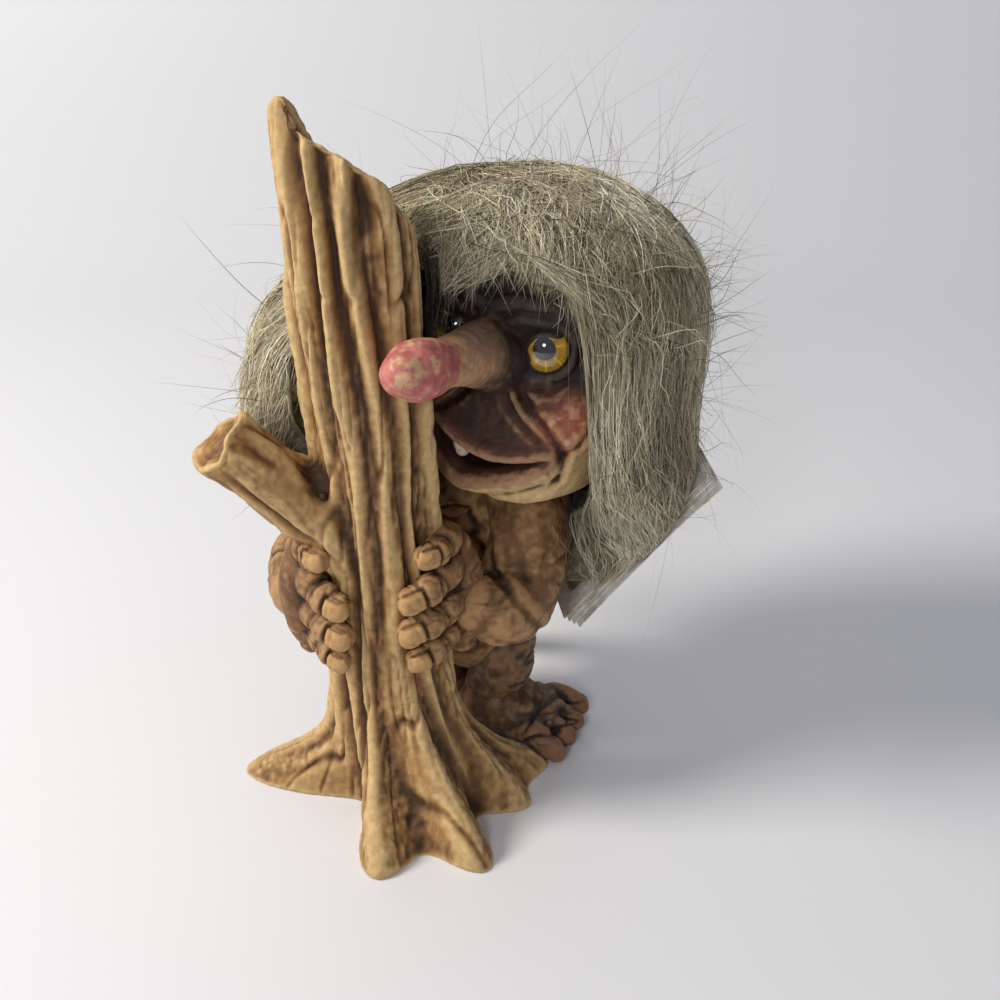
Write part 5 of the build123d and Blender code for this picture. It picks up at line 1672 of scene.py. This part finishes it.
# %% Swept crown
def crown_level(x, y):
    level = np.full(x.shape, HAIR_TOP)
    before = np.zeros(x.shape)
    for share in np.linspace(0.0, 0.46, 47):
        left, right, front, back, middle_x, middle_y = bell_limits(share)
        deep = np.where(y > middle_y, back - middle_y, middle_y - front)
        out = (np.abs(x - middle_x) / (0.5 * (right - left))) ** 2.3 + (np.abs(y - middle_y) / deep) ** 2.3
        part = np.clip((before - 1.0) / np.maximum(before - out, 1e-6), 0.0, 1.0) if share > 0.0 else 0.0
        level = np.where(out > 1.0, HAIR_TOP - share * HAIR_FALL, np.where(before > 1.0, level - part * 1.38, level))
        before = out
    return level


def swept_locks(locks, hairs):
    turn, far = dice.uniform(-np.pi, np.pi, locks), 34.0 * np.sqrt(dice.random(locks))
    start = np.column_stack([39.0 + 1.15 * far * np.cos(turn), 46.0 + far * np.sin(turn)])
    heading = np.radians(-90.0 + 1.4 * (start[:, 0] - 38.0) + dice.normal(0.0, 30.0, locks))
    bend = dice.normal(0.0, 0.5, locks)
    run = np.linspace(0.0, 1.0, RINGS)[None, None, :]
    length = dice.uniform(26.0, 52.0, locks)[:, None] * dice.uniform(0.7, 1.1, (locks, hairs))
    way = heading[:, None, None] + bend[:, None, None] * run
    wave = dice.uniform(1.0, 3.5, locks)[:, None, None] * np.sin(5.0 * run + dice.uniform(0, 6, locks)[:, None, None])
    own = np.abs(dice.normal(0.0, 1.2, (locks, hairs, 1))) * np.sin(9.0 * run + dice.uniform(0, 6, (locks, hairs, 1)))
    aside = dice.normal(0.0, 2.6, (locks, hairs, 1)) * (1.0 - 0.5 * run) + wave + own
    x = start[:, 0, None, None] + length[..., None] * run * np.cos(way) - aside * np.sin(way)
    y = start[:, 1, None, None] + length[..., None] * run * np.sin(way) + aside * np.cos(way)
    lift = dice.uniform(-3.4, 0.6, (locks, hairs, 1)) - 5.0 * (1.0 - ease_between(0.0, 0.3, run)) + 0.5 * own
    return np.stack([x, y, crown_level(x, y) + lift], axis=-1).reshape(-1, RINGS, 3)


def lock_beside_trunk(hairs):
    # One thin lock hangs from the fringe down between the trunk and the nose; its colour is darkened below as painted
    # shade
    run = np.linspace(0.0, 1.0, RINGS)[None, :]
    each = (hairs, 1)
    x = dice.uniform(8.0, 15.5, each) + dice.normal(0.0, 1.0, each) * run
    x = x + 1.6 * np.sin(5 * run + dice.uniform(0, 6, each))
    y = dice.uniform(9.0, 14.0, each) - 3.0 * np.sin(np.pi * run)
    level = 184.0 - run * dice.uniform(22.0, 36.0, each)
    return np.stack([x, y, level], axis=-1)


swept = swept_locks(LOCKS // 3, 14)
hair_points = part_the_hair(np.concatenate([long_hairs, fluff, swept]))
hair_points = keep_off_trunk(np.concatenate([hair_points, drop_kinked(draw_in(clear_the_face(frizz)))]))
hair_points = rest_on_tag(hair_points)
hair_tones = fur_colours(hair_points, 0.09)
hair_girth = np.clip(dice.normal(0.12, 0.035, len(hair_points)), 0.06, 0.24)
order = np.argsort(np.arctan2(hair_points[:, 0, 1] - 40.0, hair_points[:, 0, 0] - 40.0))
meshes = max(1, math.ceil(len(order) / HAIRS_IN_A_MESH))
for number, chosen in enumerate(np.array_split(order, meshes)):
    hair_mesh(f"long_hair_{number + 1}", hair_points[chosen], hair_girth[chosen], hair_tones[chosen], fur)

# The lock's colour is cut to 0.22 of the fur's as painted shade, for the shadow it hangs in beside the trunk.
lock_in_painted_shade = keep_off_trunk(lock_beside_trunk(240))
hair_mesh("lock_in_painted_shade", lock_in_painted_shade, np.full(len(lock_in_painted_shade), 0.14), 0.22 * fur_colours(lock_in_painted_shade, 0.3), fur)

# %% [markdown]
# ## Guard hairs that stand off
# Here and there a coarse dark hair leaves the wig and curls away on its own. Each one is shortened so that it
# reaches only a little past the measured box.

# %% Stray hairs
def stray_hairs(count):
    share, angle = lock_starts(count)
    share = np.where(dice.random(len(share)) < 0.45, dice.uniform(-0.06, 0.30, len(share)), share)
    angle = np.where(dice.random(len(angle)) < 0.45, dice.normal(0.0, 0.6, len(angle)), angle)
    outward, side = bell_outward(share, angle)
    start = draw_in(bell(share, angle) - 4.0 * outward)
    way = outward * dice.uniform(0.4, 1.0, (len(share), 1)) + side * dice.normal(0.0, 0.7, (len(share), 1))
    way = way + UP * dice.normal(0.2, 0.45, (len(share), 1))
    way /= np.linalg.norm(way, axis=1, keepdims=True)
    bend = dice.normal(0.0, 1.3, (len(share), 3)) - UP * 0.4
    length = dice.uniform(9.0, 34.0, (len(share), 1))
    run = np.linspace(0.0, 1.0, RINGS)[None, :, None]
    wave = 2.2 * np.sin(run * dice.uniform(4.0, 9.0, (len(share), 1, 1)) + dice.uniform(0, 6, (len(share), 1, 1)))
    points = start[:, None] + length[:, None] * (way[:, None] * run + 0.55 * bend[:, None] * run ** 2)
    points = points + (side[:, None] + 0.5 * UP) * wave * run
    low, high = np.array(measured_box[0]) / MM, np.array(measured_box[1]) / MM
    spare = 0.03 * (high - low) + 8.5
    outside = ((points < low - spare) | (points > high + spare)).any(axis=2)
    return rest_on_tag(keep_off_trunk(clear_the_face(end_before(points, outside))))


strays = stray_hairs(640)
stray_tones = fur_colours(strays, 0.55)
stray_girth = np.clip(dice.normal(0.080, 0.02, len(strays)), 0.05, 0.13)
hair_mesh("stray_hairs", strays, stray_girth, stray_tones, guard_fur)

# %% [markdown]
# ## Tail tuft
# The tail ends in a brush of the same fur.

# %% Tail tuft
def tuft_hairs(count):
    way = np.array([-22.0, -3.0, -3.0]) / np.linalg.norm([-22.0, -3.0, -3.0])
    turn, out = dice.uniform(0, 2 * np.pi, count), np.sqrt(dice.random(count))
    side, rise = np.cross(way, UP), np.cross(np.cross(way, UP), way)
    run = np.linspace(0.0, 1.0, RINGS)[None, :]
    start = dice.uniform(-2.0, 6.0, (count, 1))
    along = start + run * (dice.uniform(14.0, 20.5, (count, 1)) - start)
    puff = np.interp(along, [-2.0, 1.0, 8.0, 14.0, 21.0], [3.6, 4.2, 6.6, 5.2, 1.0])
    wave = 0.5 * np.sin(run * 7.0 + dice.uniform(0, 6, (count, 1)))
    radius = puff * out[:, None] + wave
    points = tail_end + along[..., None] * way
    points = points + (radius * np.cos(turn)[:, None])[..., None] * side
    points = points + (radius * np.sin(turn)[:, None])[..., None] * rise
    points[..., 2] = np.maximum(points[..., 2], 0.4)
    return points


tuft_points = tuft_hairs(900)
tuft = hair_mesh("tail_tuft_hairs", tuft_points, np.full(len(tuft_points), 0.2), fur_colours(tuft_points, 0.2), fur)
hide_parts("tail_tuft")

# %% [markdown]
# ## The woven backing of the wig
# Under the fur lies a piece of woven cloth. Almost nothing of it shows, but at the edge of the face it can peep
# out, so it gets threads in two directions.

# %% Woven backing
def woven_material():
    material = simple_material("woven_backing", (0.16, 0.14, 0.11), 0.9)
    nodes, links = material.node_tree.nodes, material.node_tree.links
    shader = nodes["Principled BSDF"]
    place = nodes.new("ShaderNodeTexCoord")
    bump = nodes.new("ShaderNodeBump")
    bump.inputs["Distance"].default_value = 0.0003
    total = nodes.new("ShaderNodeMath")
    for number, direction in enumerate(("X", "Z")):
        thread = nodes.new("ShaderNodeTexWave")
        thread.bands_direction = direction
        thread.inputs["Scale"].default_value = 300.0
        thread.inputs["Distortion"].default_value = 1.5
        links.new(place.outputs["Object"], thread.inputs["Vector"])
        links.new(thread.outputs["Fac"], total.inputs[number])
    shade = nodes.new("ShaderNodeMix")
    shade.data_type = "RGBA"
    shade.inputs["A"].default_value = (0.035, 0.024, 0.015, 1.0)
    shade.inputs["B"].default_value = (0.12, 0.085, 0.055, 1.0)
    links.new(total.outputs["Value"], shade.inputs["Factor"])
    links.new(shade.outputs["Result"], shader.inputs["Base Color"])
    links.new(total.outputs["Value"], bump.inputs["Height"])
    links.new(bump.outputs["Normal"], shader.inputs["Normal"])
    return material


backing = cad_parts["wig_backing"]
backing.data.materials.clear()
backing.data.materials.append(woven_material())
print("backing woven")

# %% [markdown]
# ## The booklet tag
# A folded paper booklet hangs under the hair by its spine. Paper never lies quite flat: each leaf bends a little
# more than the one before it, and its free corners lift. The cover has a plain brown panel with a pale margin,
# and the leaves inside are off-white.

# %% Tag leaves
TAG_LENGTH, TAG_WIDTH, LEAF = 70.0, 46.0, 0.4
TAG_SPINE = TAG_CORNER + TAG_BACK * TAG_WIDTH + TAG_LONG * TAG_LENGTH / 2


def leaf_sheet(name, node, body, place):
    rows, columns = 46, 66
    hinge_gap = 0.0 if place == 0 else 1.7
    width = TAG_WIDTH - hinge_gap + place * 0.9
    v, u = np.meshgrid(np.linspace(0.0, 1.0, rows), np.linspace(0.0, 1.0, columns), indexing="ij")
    long = (u - 0.5) * TAG_LENGTH + place * 0.36
    short = -hinge_gap - v * width
    corner = (2.0 * np.abs(u - 0.5)) ** 3 * v ** 2
    droop = place * (0.55 * v ** 2 + 0.35 * corner)
    ripple = smooth_noise(np.column_stack([u.ravel() * 3, v.ravel() * 3, 0 * u.ravel()]), 401 + place)
    droop = droop + 0.10 * place * ripple.reshape(u.shape) * v
    top = -place * 0.8 - droop
    spots = []
    for lift in (top, top - LEAF):
        spot = TAG_SPINE + long[..., None] * TAG_LONG + short[..., None] * TAG_BACK + lift[..., None] * TAG_UP
        spots.append(spot.reshape(-1, 3))
    count = rows * columns
    cell = np.arange(count).reshape(rows, columns)
    quads = np.stack([cell[:-1, :-1], cell[:-1, 1:], cell[1:, 1:], cell[1:, :-1]], axis=-1).reshape(-1, 4)
    rim = np.concatenate([cell[0, :-1], cell[:-1, -1], cell[-1, :0:-1], cell[:0:-1, 0]])
    after = np.roll(rim, -1)
    edge = np.stack([after, rim, rim + count, after + count], axis=-1)
    faces = np.concatenate([quads, quads[:, ::-1] + count, edge])
    mesh = bpy.data.meshes.new(name)
    mesh.from_pydata((np.concatenate(spots) * MM).tolist(), [], faces.tolist())
    piece = bpy.data.objects.new(name, mesh)
    scene.collection.objects.link(piece)
    page = np.tile(tint(240, 237, 228), (2 * count, 1))
    margin = np.minimum(np.minimum(u, 1 - u) * TAG_LENGTH, np.minimum(v, 1 - v) * width).ravel()
    speck = layered_noise(np.concatenate(spots) / 3.0, 411 + place, 3)
    page = blend_tints(page, tint(204, 194, 172), 0.6 * ease_between(0.0, 0.9, speck))
    panel = ease_between(6.0, 6.6, margin)
    cover = np.concatenate([panel if place == 0 else 0 * panel, panel if place == 3 else 0 * panel])
    page = blend_tints(page, tint(112, 84, 62), 0.9 * cover * (0.85 + 0.15 * speck))
    worn = np.concatenate([ease_between(1.6, 0.0, margin)] * 2)
    page = blend_tints(page, tint(168, 152, 126), 0.55 * worn * ease_between(-0.4, 0.6, speck))
    paint(piece, page)
    mesh.materials.append(paper)
    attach(piece, body)
    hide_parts(node)


LEAVES = (("front", "figure"), ("second", "second_leaf"), ("third", "third_leaf"), ("back", "back_leaf"))
paper = painted_casting("coated_paper", 0.08, 0.4)
for place, (word, body) in enumerate(LEAVES):
    leaf_sheet(f"tag_{word}_sheet", f"tag_{word}_leaf", body, place)
print("tag leaves made", len(LEAVES))

# %% [markdown]
# The front leaf also carries the spine: a narrow rolled bead round which the other leaves turn.

# %% Tag spine
SPINE_MIDDLE = TAG_SPINE - TAG_UP * 1.4
bead_line = [(SPINE_MIDDLE + TAG_LONG * along, 1.25) for along in (-33.9, -12.0, 12.0, 33.9)]
spine = clay("tag_spine_bead", [tube(bead_line, 24, 8)], 0.3)
spine_points = points_of(spine)
card = np.tile(tint(122, 94, 70), (len(spine_points), 1))
rubbed = ease_between(0.1, 0.9, layered_noise(spine_points / 2.0, 431, 3))
paint(spine, blend_tints(card, tint(190, 172, 142), 0.6 * rubbed))
spine.data.materials.append(paper)
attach(spine, "figure")
print("spine bead", len(spine_points), "points")
